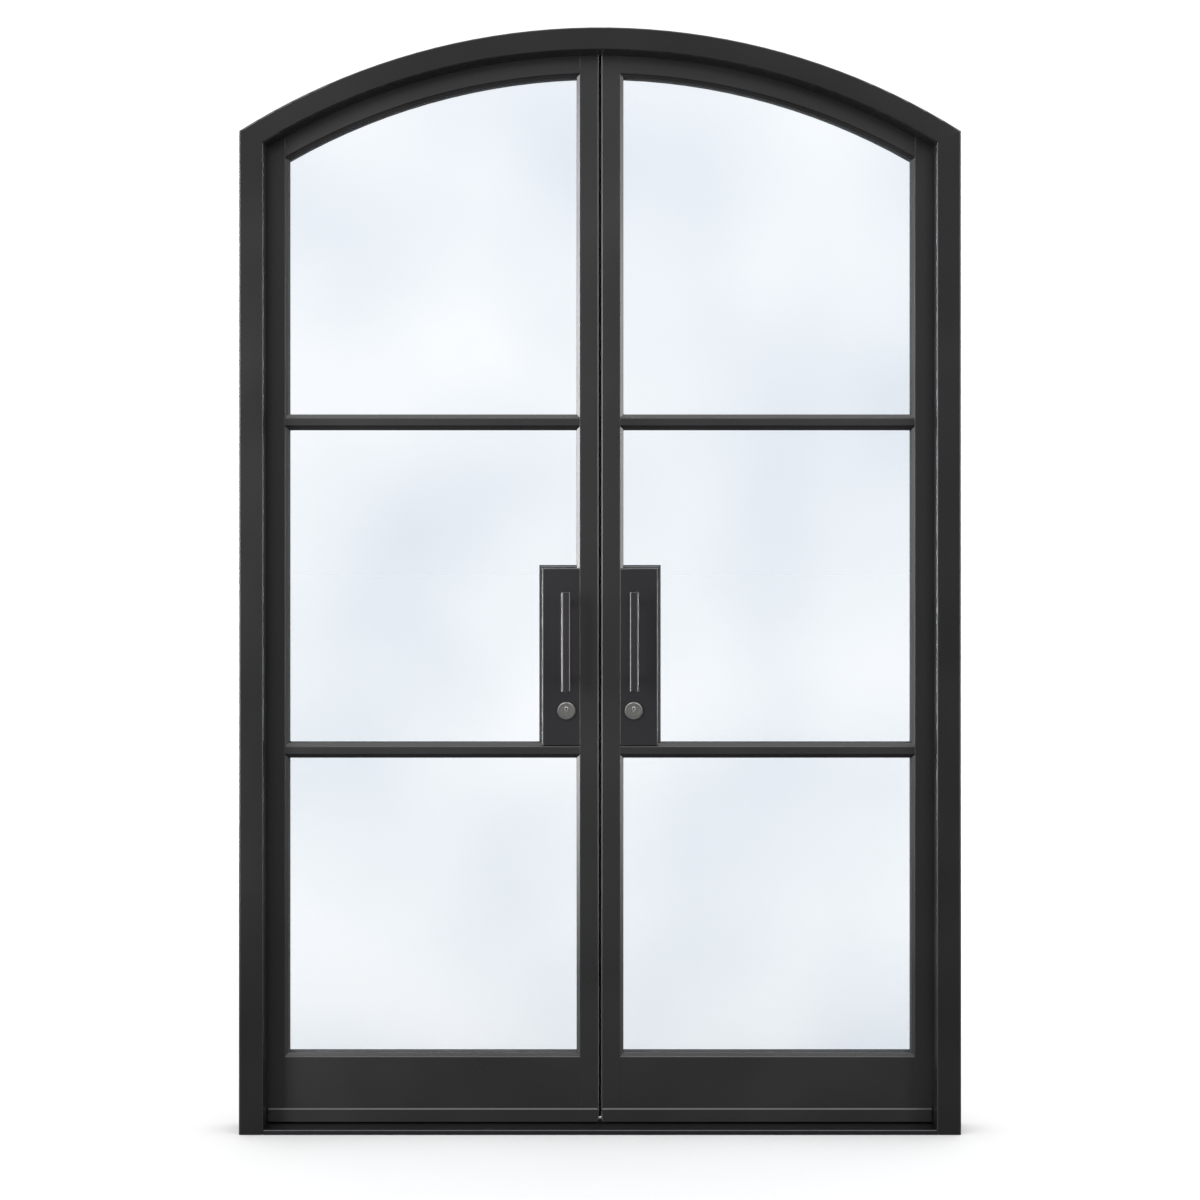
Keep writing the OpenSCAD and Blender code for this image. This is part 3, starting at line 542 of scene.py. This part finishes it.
def follow(
    name: str, paths: bpy.types.Mesh, tree: bpy.types.NodeTree, inputs: dict[str, object]
) -> bpy.types.Object:
    """Runs a tree on some paths and keeps the result as a plain mesh.

    Args:
        name: The new piece's name.
        paths: The edges that the tree follows.
        tree: The geometry tree.
        inputs: The tree's inputs by name.

    Returns:
        The piece, with no modifier left.
    """
    carrier = mesh_object("carrier", paths)
    modifier = carrier.modifiers.new("tree", "NODES")
    modifier.node_group = tree
    for label, value in inputs.items():
        modifier[tree.interface.items_tree[label].identifier] = value
    carrier.update_tag()
    depsgraph = bpy.context.evaluated_depsgraph_get()
    mesh = bpy.data.meshes.new_from_object(carrier.evaluated_get(depsgraph), depsgraph=depsgraph)
    bpy.data.objects.remove(carrier)
    mesh.name = name
    mesh.shade_smooth()
    mesh.set_sharp_from_angle(angle=math.radians(35))
    return mesh_object(name, mesh)


# ---------------------------------------------------------------- the doors


class Side(Enum):
    """The two leaves as seen from the street, with the sign of their X."""

    LEFT = -1
    RIGHT = 1

    @property
    def label(self) -> str:
        """The word that the names of this leaf's nodes start with."""
        return self.name.lower()

    def node(self, name: str) -> str:
        """Name of this leaf's node."""
        return f"{self.label}_{name}"


class Face(Enum):
    """The two faces of a leaf, with the sign of the way that they look along Y."""

    STREET = -1
    ROOM = 1


def near_side(node: str) -> tuple[Vector, Vector]:
    """Box of a node, mirrored to the right leaf if it is the left one's."""
    low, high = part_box(node)
    if high.x <= 0:
        low.x, high.x = -high.x, -low.x
    return low, high


def stacked(node: str, gap: float = 100 * MM) -> list[tuple[float, float]]:
    """Lowest and highest Z of each solid of a node whose solids stand above each other, well apart."""
    heights = sorted({round(v.co.z, 6) for v in frame["nodes"][node].data.vertices})
    cuts = [i for i in range(1, len(heights)) if heights[i] - heights[i - 1] > gap]
    ends = [0, *cuts, len(heights)]
    return [(heights[a], heights[b - 1]) for a, b in zip(ends, ends[1:])]


@dataclass(frozen=True)
class Arch:
    """The curve that the head, the rail and the glass share: circles round one centre on X = 0."""

    centre: float

    @classmethod
    def of_frame(cls) -> "Arch":
        """Finds the centre from the frame's crown and from the jamb's top corner."""
        _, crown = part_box("head_arch")
        _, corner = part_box("jamb_right")
        rise = crown.z - corner.z
        radius = (corner.x ** 2 + rise ** 2) / (2 * rise)
        return cls(crown.z - radius)

    def points(self, radius: float, start: float, end: float, count: int = 24) -> list[Flat]:
        """Points on the circle of that radius, from one X to another."""
        low, high = (math.asin(x / radius) for x in (start, end))
        angles = [low + (high - low) * i / count for i in range(count + 1)]
        return [(radius * math.sin(a), self.centre + radius * math.cos(a)) for a in angles]


@dataclass
class Leaf:
    """One leaf: its glazing, lock and weld details.

    Attributes:
        side: Which leaf it is.
        bead: Width of a glazing bead.
        gasket: Radius of the gasket between a bead and the glass.
        lip: How much of the gasket shows beside the bead.
        gasket_corner: Radius of the bend that a gasket makes in a corner.
        screw_pitch: Distance between the screws of the room side beads.
        screw_end: Distance of the first screw from a bead's end.
        bead_screw: Radius of a bead screw's head.
        plate_screw: Radius of a face plate screw's head.
        plate_end: Distance of a face plate screw from the plate's end.
        rings: Radii of the turned rings in the key cylinder.
        ring_half: Half the width of a ring's foot, and the width of its top.
        ring_rise: Height of a ring.
        dish: How deep the rings' feet lie behind the cylinder's face.
        rim_depth: How far the keyway's rim stands proud of the plug.
        rim_foot: How deep the rim is pressed into the plug.
        rim_ease: Width of the rim's eased edges.
        drop: Radius of a weld's drops.
        drop_pitch: Distance between the drops.
        weld_end: Distance of a weld from the ends of its wing.
        arch: The curve of the head.
    """

    side: Side
    bead: float = 6.5 * MM
    gasket: float = 1.2 * MM
    lip: float = 0.8 * MM
    gasket_corner: float = 3 * MM
    screw_pitch: float = 200 * MM
    screw_end: float = 35 * MM
    bead_screw: float = 2 * MM
    plate_screw: float = 3 * MM
    plate_end: float = 8 * MM
    rings: tuple[float, ...] = (11.6 * MM, 13.0 * MM, 14.4 * MM)
    ring_half: float = 0.35 * MM
    ring_rise: float = 0.45 * MM
    dish: float = 1.2 * MM
    rim_depth: float = 0.7 * MM
    rim_foot: float = 0.2 * MM
    rim_ease: float = 0.35 * MM
    drop: float = 1.8 * MM
    drop_pitch: float = 1.6 * MM
    weld_end: float = 1.5 * MM
    arch: Arch = field(default_factory=Arch.of_frame)

    @property
    def body(self) -> str:
        """The body that the leaf's pieces ride on."""
        return self.side.node("leaf")

    def at(self, x: float, y: float, z: float) -> Vector:
        """A point of the right leaf, mirrored to this one."""
        return Vector((self.side.value * x, y, z))

    def street_middle(self, node: str) -> Vector:
        """Middle of the street face of one of the leaf's nodes."""
        low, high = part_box(self.side.node(node))
        return Vector(((low.x + high.x) / 2, low.y, (low.z + high.z) / 2))

    def keep(self, piece: bpy.types.Object, body: str | None = None) -> None:
        """Rides a piece on its body and reports it."""
        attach(piece, body or self.body)
        LOG.info("%s rides on %s: %d faces", piece.name, body or self.body, len(piece.data.polygons))

    def openings(self, inset: float, by_box: float) -> list[list[Flat]]:
        """Outlines of the three glass openings in X and Z of the right leaf.

        Args:
            inset: How far the outline lies inside the stiles, rails and bars.
            by_box: How far it lies from the lock box.

        Returns:
            The lower, the middle and the upper outline, each anticlockwise from its lower left corner.
        """
        left = near_side(self.side.node("meeting_stile"))[1].x
        right = near_side(self.side.node("hinge_stile"))[0].x
        _, box = near_side(self.side.node("lock_box"))
        low, mid, top = (near_side(self.side.node(f"glass_{n}")) for n in ("lower", "middle", "upper"))
        room = low[0].x - left
        x0, x1 = left + inset, right - inset
        shift = inset - room
        lower = [
            (x0, low[0].z + shift), (x1, low[0].z + shift), (x1, low[1].z - shift), (x0, low[1].z - shift)
        ]
        middle = [
            (box.x + by_box, mid[0].z + shift), (x1, mid[0].z + shift), (x1, mid[1].z - shift),
            (x0, mid[1].z - shift), (x0, box.z + by_box), (box.x + by_box, box.z + by_box),
        ]
        radius = math.hypot(top[0].x, top[1].z - self.arch.centre) - shift
        curve = self.arch.points(radius, x1, x0)
        upper = [(x0, top[0].z + shift), (x1, top[0].z + shift), *curve]
        return [lower, middle, upper]

    def gaskets(self) -> None:
        """Round rubber gaskets that close the joint between beads and glass, on both faces."""
        low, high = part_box(self.side.node("glass_lower"))
        tucked = self.lip - self.gasket
        outlines = self.openings(self.bead + tucked, tucked)
        paths = [
            [self.at(x, y, z) for x, z in outline]
            for y in (low.y - self.gasket, high.y + self.gasket) for outline in outlines
        ]
        name = self.side.node("glass_gaskets")
        piece = follow(
            name, path_mesh(name, paths, closed=True), strip_tree(),
            {
                "Radius": self.gasket, "Corner": self.gasket_corner, "Sides": 8,
                "Finish": SEAL_RUBBER.material(),
            },
        )
        self.keep(piece)

    def screw(self, direction: Vector, radius: float) -> bpy.types.Object:
        """A socket screw's head that looks along a direction, to be repeated."""
        turn = direction.to_track_quat("Z", "Y").to_matrix().to_4x4()
        # In shares of the head's radius: the shank's side, the domed crown, then the socket
        profile = [
            (0, -0.5), (1, -0.5), (1, 0.1), (0.9, 0.26), (0.7, 0.34), (0.5, 0.34),
            (0.44, 0.28), (0.44, 0), (0, 0),
        ]
        shape = lathe([(r * radius, z * radius) for r, z in profile], 12, turn)
        return mesh_object("screw", to_mesh("screw", [shape]))

    def screws(self, name: str, paths: list[list[Vector]], pitch: float, item: bpy.types.Object) -> None:
        """Repeats a screw along some open paths, drops it and keeps the row."""
        name = self.side.node(name)
        piece = follow(
            name, path_mesh(name, paths, closed=False), row_tree(),
            {"Pitch": pitch, "Item": item, "Finish": ZINC_PLATE.material()},
        )
        bpy.data.objects.remove(item)
        self.keep(piece)

    def bead_screws(self) -> None:
        """Screws that hold the room side beads, one row along each straight bead and one under the arch."""
        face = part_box(self.side.node("back_beads"))[1].y - 0.2 * self.bead
        lower, middle, upper = self.openings(self.bead / 2, 0)
        # The middle outline's last two edges run round the lock box, which has no room for screws
        straight = [(o[i], o[(i + 1) % len(o)]) for o in (lower, middle) for i in range(4)]
        straight += [(upper[0], upper[1]), (upper[1], upper[2]), (upper[-1], upper[0])]
        paths = []
        for (x0, z0), (x1, z1) in straight:
            start, end = self.at(x0, face, z0), self.at(x1, face, z1)
            inward = (end - start).normalized() * self.screw_end
            paths.append([start + inward, end - inward])
        paths.append([self.at(x, face, z) for x, z in upper[3:-1]])
        item = self.screw(Vector((0, Face.ROOM.value, 0)), self.bead_screw)
        self.screws("bead_screws", paths, self.screw_pitch, item)

    def face_plate_screws(self) -> None:
        """The two screws of the lock's face plate, in the meeting edge."""
        low, high = near_side(self.side.node("lock_case"))
        middle = (low.y + high.y) / 2
        bottom, top = low.z + self.plate_end, high.z - self.plate_end
        ends = [self.at(low.x, middle, z) for z in (bottom, top)]
        item = self.screw(Vector((-self.side.value, 0, 0)), self.plate_screw)
        self.screws("face_plate_screws", [ends], high.z - low.z - 2 * self.plate_end, item)

    def turned_rings(self) -> None:
        """Raised rings in the dish of the key cylinder, left by the lathe."""
        place = Matrix.Translation(self.street_middle("key_cylinder"))
        place @= Matrix.Rotation(math.radians(90), 4, "X")
        half, foot, top = self.ring_half, -self.dish, self.ring_rise - self.dish
        shapes = []
        for radius in self.rings:
            ring = [(radius - half, foot), (radius - half / 2, top), (radius + half / 2, top)]
            ring += [(radius + half, foot), (radius - half, foot)]
            shape = lathe(ring, 64, place)
            bmesh.ops.remove_doubles(shape, verts=shape.verts, dist=0.01 * MM)
            bmesh.ops.recalc_face_normals(shape, faces=shape.faces)
            shapes.append(shape)
        name = self.side.node("cylinder_rings")
        piece = mesh_object(name, to_mesh(name, shapes))
        piece.data.materials.append(LOCK_METAL.material())
        self.keep(piece)

    def key_rim(self) -> None:
        """Bright drop-shaped rim round the keyway, pressed on the plug's face."""
        centre = self.street_middle("key_plug")
        outer = self.drop_outline(4.7 * MM, 7.2 * MM)
        inner = self.drop_outline(2.1 * MM, 4.9 * MM)
        foot, crest, edge = self.rim_foot, -self.rim_depth, self.rim_ease - self.rim_depth
        shape = bmesh.new()
        loops = []
        # Outline, its scale and its Y, from the outer foot over the eased crest to the inner foot
        for outline, scale, y in (
            (outer, 1.0, foot), (outer, 1.0, edge), (outer, 0.93, crest),
            (inner, 1.12, crest), (inner, 1.0, edge), (inner, 1.0, foot),
        ):
            loops.append([shape.verts.new(centre + Vector((x * scale, y, z * scale))) for x, z in outline])
        for a, b in zip(loops, [*loops[1:], loops[0]]):
            for i in range(len(a)):
                j = (i + 1) % len(a)
                shape.faces.new((a[i], a[j], b[j], b[i]))
        bmesh.ops.recalc_face_normals(shape, faces=shape.faces)
        name = self.side.node("keyway_rim")
        piece = mesh_object(name, to_mesh(name, [shape]))
        piece.data.materials.append(BRIGHT_NICKEL.material())
        self.keep(piece, self.side.node("key_plug"))

    @staticmethod
    def drop_outline(radius: float, tip: float, count: int = 32) -> list[Flat]:
        """A circle drawn out to a blunt point below, in X and Z from the plug's axis.

        Args:
            radius: The circle's radius.
            tip: How far the point lies below the circle's middle.
            count: Number of points.

        Returns:
            The outline, anticlockwise from its right.
        """
        outline = []
        for i in range(count):
            angle = 2 * math.pi * i / count
            x, z = radius * math.cos(angle), radius * math.sin(angle)
            pull = max(0.0, -math.sin(angle)) ** 3
            outline.append((x * (1 - 0.35 * pull), z - (tip - radius) * pull + 0.12 * tip))
        return outline

    def wing_welds(self, node: str, body: str, inward: bool) -> None:
        """Lays a fillet weld along three edges of each hinge wing of this side.

        Args:
            node: The node that holds the knuckles and their wings.
            body: The body that the welds ride on.
            inward: Whether the wings point towards the middle of the doors.
        """
        low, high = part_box(node)
        across = [v.co.x for v in frame["nodes"][node].data.vertices if v.co.x * self.side.value > 0]
        tip = min(abs(x) for x in across) if inward else max(abs(low.x), abs(high.x))
        # The knuckle's barrel hides the first part of the wing
        near = HINGE_AXIS + 0.4 * (tip - HINGE_AXIS)
        y = low.y + 0.5 * self.drop
        paths = []
        for bottom, top in stacked(node):
            z0, z1 = bottom + self.weld_end, top - self.weld_end
            paths.append([self.at(x, y, z) for x, z in ((near, z0), (tip, z0), (tip, z1), (near, z1))])
        name = self.side.node(f"{'leaf' if inward else 'frame'}_hinge_welds")
        piece = follow(
            name, path_mesh(name, paths, closed=False), weld_tree(),
            {"Pitch": self.drop_pitch, "Drop": self.drop, "Seed": 7, "Finish": FRAME_COAT.material()},
        )
        self.keep(piece, body)

    def build(self) -> None:
        """Makes all the leaf's detail pieces, and the welds of its hinges on the frame."""
        self.gaskets()
        self.bead_screws()
        self.face_plate_screws()
        self.turned_rings()
        self.key_rim()
        self.wing_welds(self.side.node("hinge_knuckles"), self.body, inward=True)
        self.wing_welds("frame_hinge_knuckles", "frame", inward=False)


# ---------------------------------------------------------------- studio


@dataclass(frozen=True)
class SoftBox:
    """An area lamp beside the doors, one before them and one behind.

    Attributes:
        name: Which side it stands on.
        across: Its X.
        size: Its width and height.
        power: Its power in watts.
    """

    name: str
    across: float
    size: Flat
    power: float


@dataclass
class Studio:
    """Plain white studio: floor, sky, soft boxes and the camera square on to the doors.

    Attributes:
        distance: From the frame's face to the camera.
        eye: Height of the camera, as a share of the frame's height.
        field: Width that the picture spans at the frame's face.
        sink: How far the picture reaches below the eye's level more than above it, as a share of its side.
        sensor: Width of the camera's sensor in millimetres.
        backdrop: Brightness of the background, just past white.
        floor_half: Half the floor's side.
        floor_drop: How far the floor lies under the doors, so that the two faces don't meet.
        box_depth: How far the soft boxes stand before or behind the doors.
        box_height: Height of the soft boxes' middle.
        boxes: The soft boxes.
        lit: The pieces that the soft boxes light.
    """

    distance: float = 5.0
    eye: float = 0.5482
    field: float = 2.64
    sink: float = 0.0604
    sensor: float = 36.0
    backdrop: float = 1.15
    floor_half: float = 60.0
    floor_drop: float = 0.2 * MM
    box_depth: float = 3.0
    box_height: float = 1.6
    boxes: tuple[SoftBox, ...] = (
        SoftBox("left_box", -3.4, (1.4, 3.0), 330.0), SoftBox("right_box", 3.6, (1.0, 3.0), 150.0),
    )
    lit: bpy.types.Collection | None = None

    def camera(self) -> None:
        """Places the camera level, with the small shift that frames the doors."""
        made = bpy.data.cameras.new("camera")
        made.sensor_width = self.sensor
        made.lens = self.sensor * self.distance / self.field
        made.shift_y = -self.sink
        holder = bpy.data.objects.new("camera", made)
        holder.location = (0.0, CAD_LOW.y - self.distance, CAD_HIGH.z * self.eye)
        holder.rotation_euler = (math.radians(90), 0.0, 0.0)
        bpy.context.scene.collection.objects.link(holder)
        bpy.context.scene.camera = holder

    def floor(self) -> None:
        """A wide plain floor."""
        half = self.floor_half
        corners = [(-half, -half, 0), (half, -half, 0), (half, half, 0), (-half, half, 0)]
        mesh = bpy.data.meshes.new("floor")
        mesh.from_pydata(corners, [], [(0, 1, 2, 3)])
        mesh.materials.append(StudioPaint("white_floor_paint").material())
        floor = mesh_object("floor", mesh)
        floor.location.z = -self.floor_drop
        floor.visible_glossy = False

    def sky(self) -> None:
        """White to the eye; to the doors dim before and behind, with bright flanks and a bright ceiling."""
        world = bpy.data.worlds.new("studio")
        bpy.context.scene.world = world
        world.use_nodes = True
        tree = world.node_tree
        tree.nodes.clear()
        way = add_node(tree, "ShaderNodeTexCoord").outputs["Generated"]
        axes = add_node(tree, "ShaderNodeSeparateXYZ", {"Vector": way})
        across = add_node(tree, "ShaderNodeMath", {0: axes.outputs["X"]}, operation="ABSOLUTE")
        total = 0.0
        # Part of the view direction, where the glow starts and ends along it, its two strengths and its ramp:
        # the walls, the ceiling and the flanks
        for source, start, end, low, high, ramp in (
            (axes.outputs["Z"], -0.4, 0.3, 0.05, 0.66, "LINEAR"),
            (axes.outputs["Z"], 0.3, 0.8, 0.0, 2.3, "SMOOTHSTEP"),
            (across.outputs[0], 0.45, 0.8, 0.0, 0.35, "SMOOTHSTEP"),
        ):
            share = add_node(
                tree, "ShaderNodeMapRange",
                {"Value": source, "From Min": start, "From Max": end, "To Min": low, "To Max": high},
                interpolation_type=ramp,
            )
            total = add_node(tree, "ShaderNodeMath", {0: share.outputs[0], 1: total}).outputs[0]
        seen = add_node(tree, "ShaderNodeLightPath").outputs["Is Camera Ray"]
        glow = add_node(tree, "ShaderNodeMix", {0: seen, 2: total, 3: self.backdrop})
        sky = add_node(tree, "ShaderNodeBackground", {"Color": srgb("#FFFFFF"), "Strength": glow.outputs[0]})
        add_node(tree, "ShaderNodeOutputWorld", {"Surface": sky.outputs[0]})

    def soft_box(self, box: SoftBox, face: Face) -> None:
        """Adds a lamp that looks level at the doors' middle, lights them alone and stays out of view."""
        name = f"{box.name}_{face.name.lower()}"
        lamp = bpy.data.lights.new(name, "AREA")
        lamp.shape = "RECTANGLE"
        lamp.size, lamp.size_y = box.size
        lamp.energy = box.power
        holder = bpy.data.objects.new(name, lamp)
        holder.location = Vector((box.across, self.box_depth * face.value, self.box_height))
        aim = Vector((0, 0, self.box_height)) - holder.location
        holder.rotation_euler = aim.to_track_quat("-Z", "Y").to_euler()
        holder.visible_camera = False
        holder.light_linking.receiver_collection = self.lit
        bpy.context.scene.collection.objects.link(holder)

    def light(self) -> None:
        """Gathers every piece of the doors, so that the soft boxes light them and leave the floor even."""
        for piece in bpy.data.objects:
            if piece.type == "MESH" and piece.name != "floor":
                self.lit.objects.link(piece)

    def build(self) -> None:
        """Makes the studio."""
        self.lit = bpy.data.collections.new("lit_by_soft_boxes")
        self.camera()
        self.floor()
        self.sky()
        for face in Face:
            for box in self.boxes:
                self.soft_box(box, face)
        bpy.context.scene.view_settings.view_transform = "Standard"


# ---------------------------------------------------------------- the object's finishes

_LOCK_LOW, _LOCK_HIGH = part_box("right_key_cylinder")
_, _PIN_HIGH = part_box("hinge_pins")
LOCK_CENTRE = ((_LOCK_LOW.x + _LOCK_HIGH.x) / 2, (_LOCK_LOW.z + _LOCK_HIGH.z) / 2)
# The pins' outer radius is 6 mm, so the axis lies that far inside their box
HINGE_AXIS = _PIN_HIGH.x - 6 * MM

# The frame, the leaves and the lock boxes wear copies of one coat, with tones set apart as painted light and
# shade; the frame's copy is darker and a little flatter than the leaves', so its broad faces stay even
FRAME_COAT = PowderCoat("satin_black_powder_coat", dark="#0B0B0C", light="#0F0F10", ior=1.42)
# The leaves' copy is lighter and more reflective than the frame's, as painted light
LEAF_COAT_PAINTED_LIGHTER = PowderCoat("satin_black_powder_coat_of_the_leaves", ior=1.56)
# The lock boxes' copy is a shade bluer, and lighter than the frame's as painted light
BOX_COAT_PAINTED_LIGHTER = PowderCoat(
    "satin_black_powder_coat_of_the_lock_boxes", dark="#0D0D10", light="#121215", ior=1.52
)
# Pulls and turns: a harder, glossier black, with a warm tint in its highlight
HARDWARE_COAT = PowderCoat(
    "black_hardware_coat", dark="#141214", light="#1B191A", ior=1.5, smoothest=0.22, roughest=0.28
)
LOCK_METAL = TurnedMetal("turned_grey_brass", centre=LOCK_CENTRE)
# Polished plate: a bright crisp rim
BRIGHT_NICKEL = BareMetal(
    "bright_nickel_plate", dark="#D6D6D4", light="#ECECEA", smoothest=0.14, roughest=0.22
)
# Zinc: dull light grey, on bolts and screws
ZINC_PLATE = BareMetal("zinc_plated_steel")
# Brass washers: muted yellow
HINGE_BRASS = BareMetal("turned_brass", dark="#8F6F33", light="#A98644")
# Extruded sill: dark grey with a soft metallic glint along its edges
SILL_METAL = BareMetal(
    "black_anodised_aluminium", dark="#38383A", light="#454547", smoothest=0.3, roughest=0.38, stretch=1.0
)
SEAL_RUBBER = Rubber("epdm_rubber")
# Glass whose cast drifts over the pane as a painted reflection
PANE_GLASS = CoatedGlass("coated_float_glass")

# Sharp edges that are eased, by the end of the node's name, and how wide
EASED_EDGES = {"lock_box": 0.9 * MM, "threshold": 1.2 * MM, "drip_bar": 0.4 * MM, "lock_case": 0.3 * MM}
EASED_ANGLE = math.radians(40)
# Faces that meet at less than this are one round face
ROUND_ANGLE = math.radians(25)
# Triangles that meet at less than this are one flat face
FLAT_ANGLE = math.radians(0.3)
JOINED = 0.001 * MM

FINISH_OF_SLOT: dict[str, Finish] = {
    "powder_coated_steel": FRAME_COAT,
    "threshold_aluminium": SILL_METAL,
    "black_hardware": HARDWARE_COAT,
    "grey_lock_metal": LOCK_METAL,
    "bright_plug_metal": LOCK_METAL,
    "bolt_steel": ZINC_PLATE,
    "hinge_brass": HINGE_BRASS,
    "black_rubber": SEAL_RUBBER,
    "clear_glass": PANE_GLASS,
}


def finish_of(node: str, slot: str) -> Finish:
    """Picks the finish of a CAD node from its slot, with the leaves and lock boxes given their lighter copies
    of the coat, painted light.
    """
    if slot != "powder_coated_steel" or node in frame["record"]["behaviour"]["bodies"]["frame"]:
        return FINISH_OF_SLOT[slot]
    return BOX_COAT_PAINTED_LIGHTER if node.endswith("lock_box") else LEAF_COAT_PAINTED_LIGHTER


def ease_edges(node: bpy.types.Object, width: float) -> None:
    """Makes flat faces whole, then bevels the sharp edges between them."""
    flat = node.modifiers.new("flat", "DECIMATE")
    flat.decimate_type = "DISSOLVE"
    flat.angle_limit = FLAT_ANGLE
    ease = node.modifiers.new("ease", "BEVEL")
    ease.width = width
    ease.segments = 2
    ease.limit_method = "ANGLE"
    ease.angle_limit = EASED_ANGLE


def dress_frame() -> None:
    """Gives each CAD node its finish, smooths its round faces and eases the edges that are sharp."""
    for row in frame["record"]["subparts"]:
        node = frame["nodes"][row["node"]]
        weld = node.modifiers.new("weld", "WELD")
        weld.merge_threshold = JOINED
        for ending, width in EASED_EDGES.items():
            if row["node"].endswith(ending):
                ease_edges(node, width)
        split = node.modifiers.new("split", "EDGE_SPLIT")
        split.split_angle = ROUND_ANGLE
        even = node.modifiers.new("even", "WEIGHTED_NORMAL")
        even.weight = 100
        node.data.shade_smooth()
        finish = finish_of(row["node"], row["material_slot"])
        node.data.materials.clear()
        node.data.materials.append(finish.material())
        LOG.info("%s wears %s", row["node"], finish.name)


def main() -> None:
    """Builds the studio, dresses the frame and makes the detail pieces."""
    logging.basicConfig(level=logging.INFO, format="%(name)s: %(message)s")
    studio = Studio()
    studio.build()
    dress_frame()
    for side in Side:
        Leaf(side).build()
    studio.light()


if __name__ == "__main__":
    main()
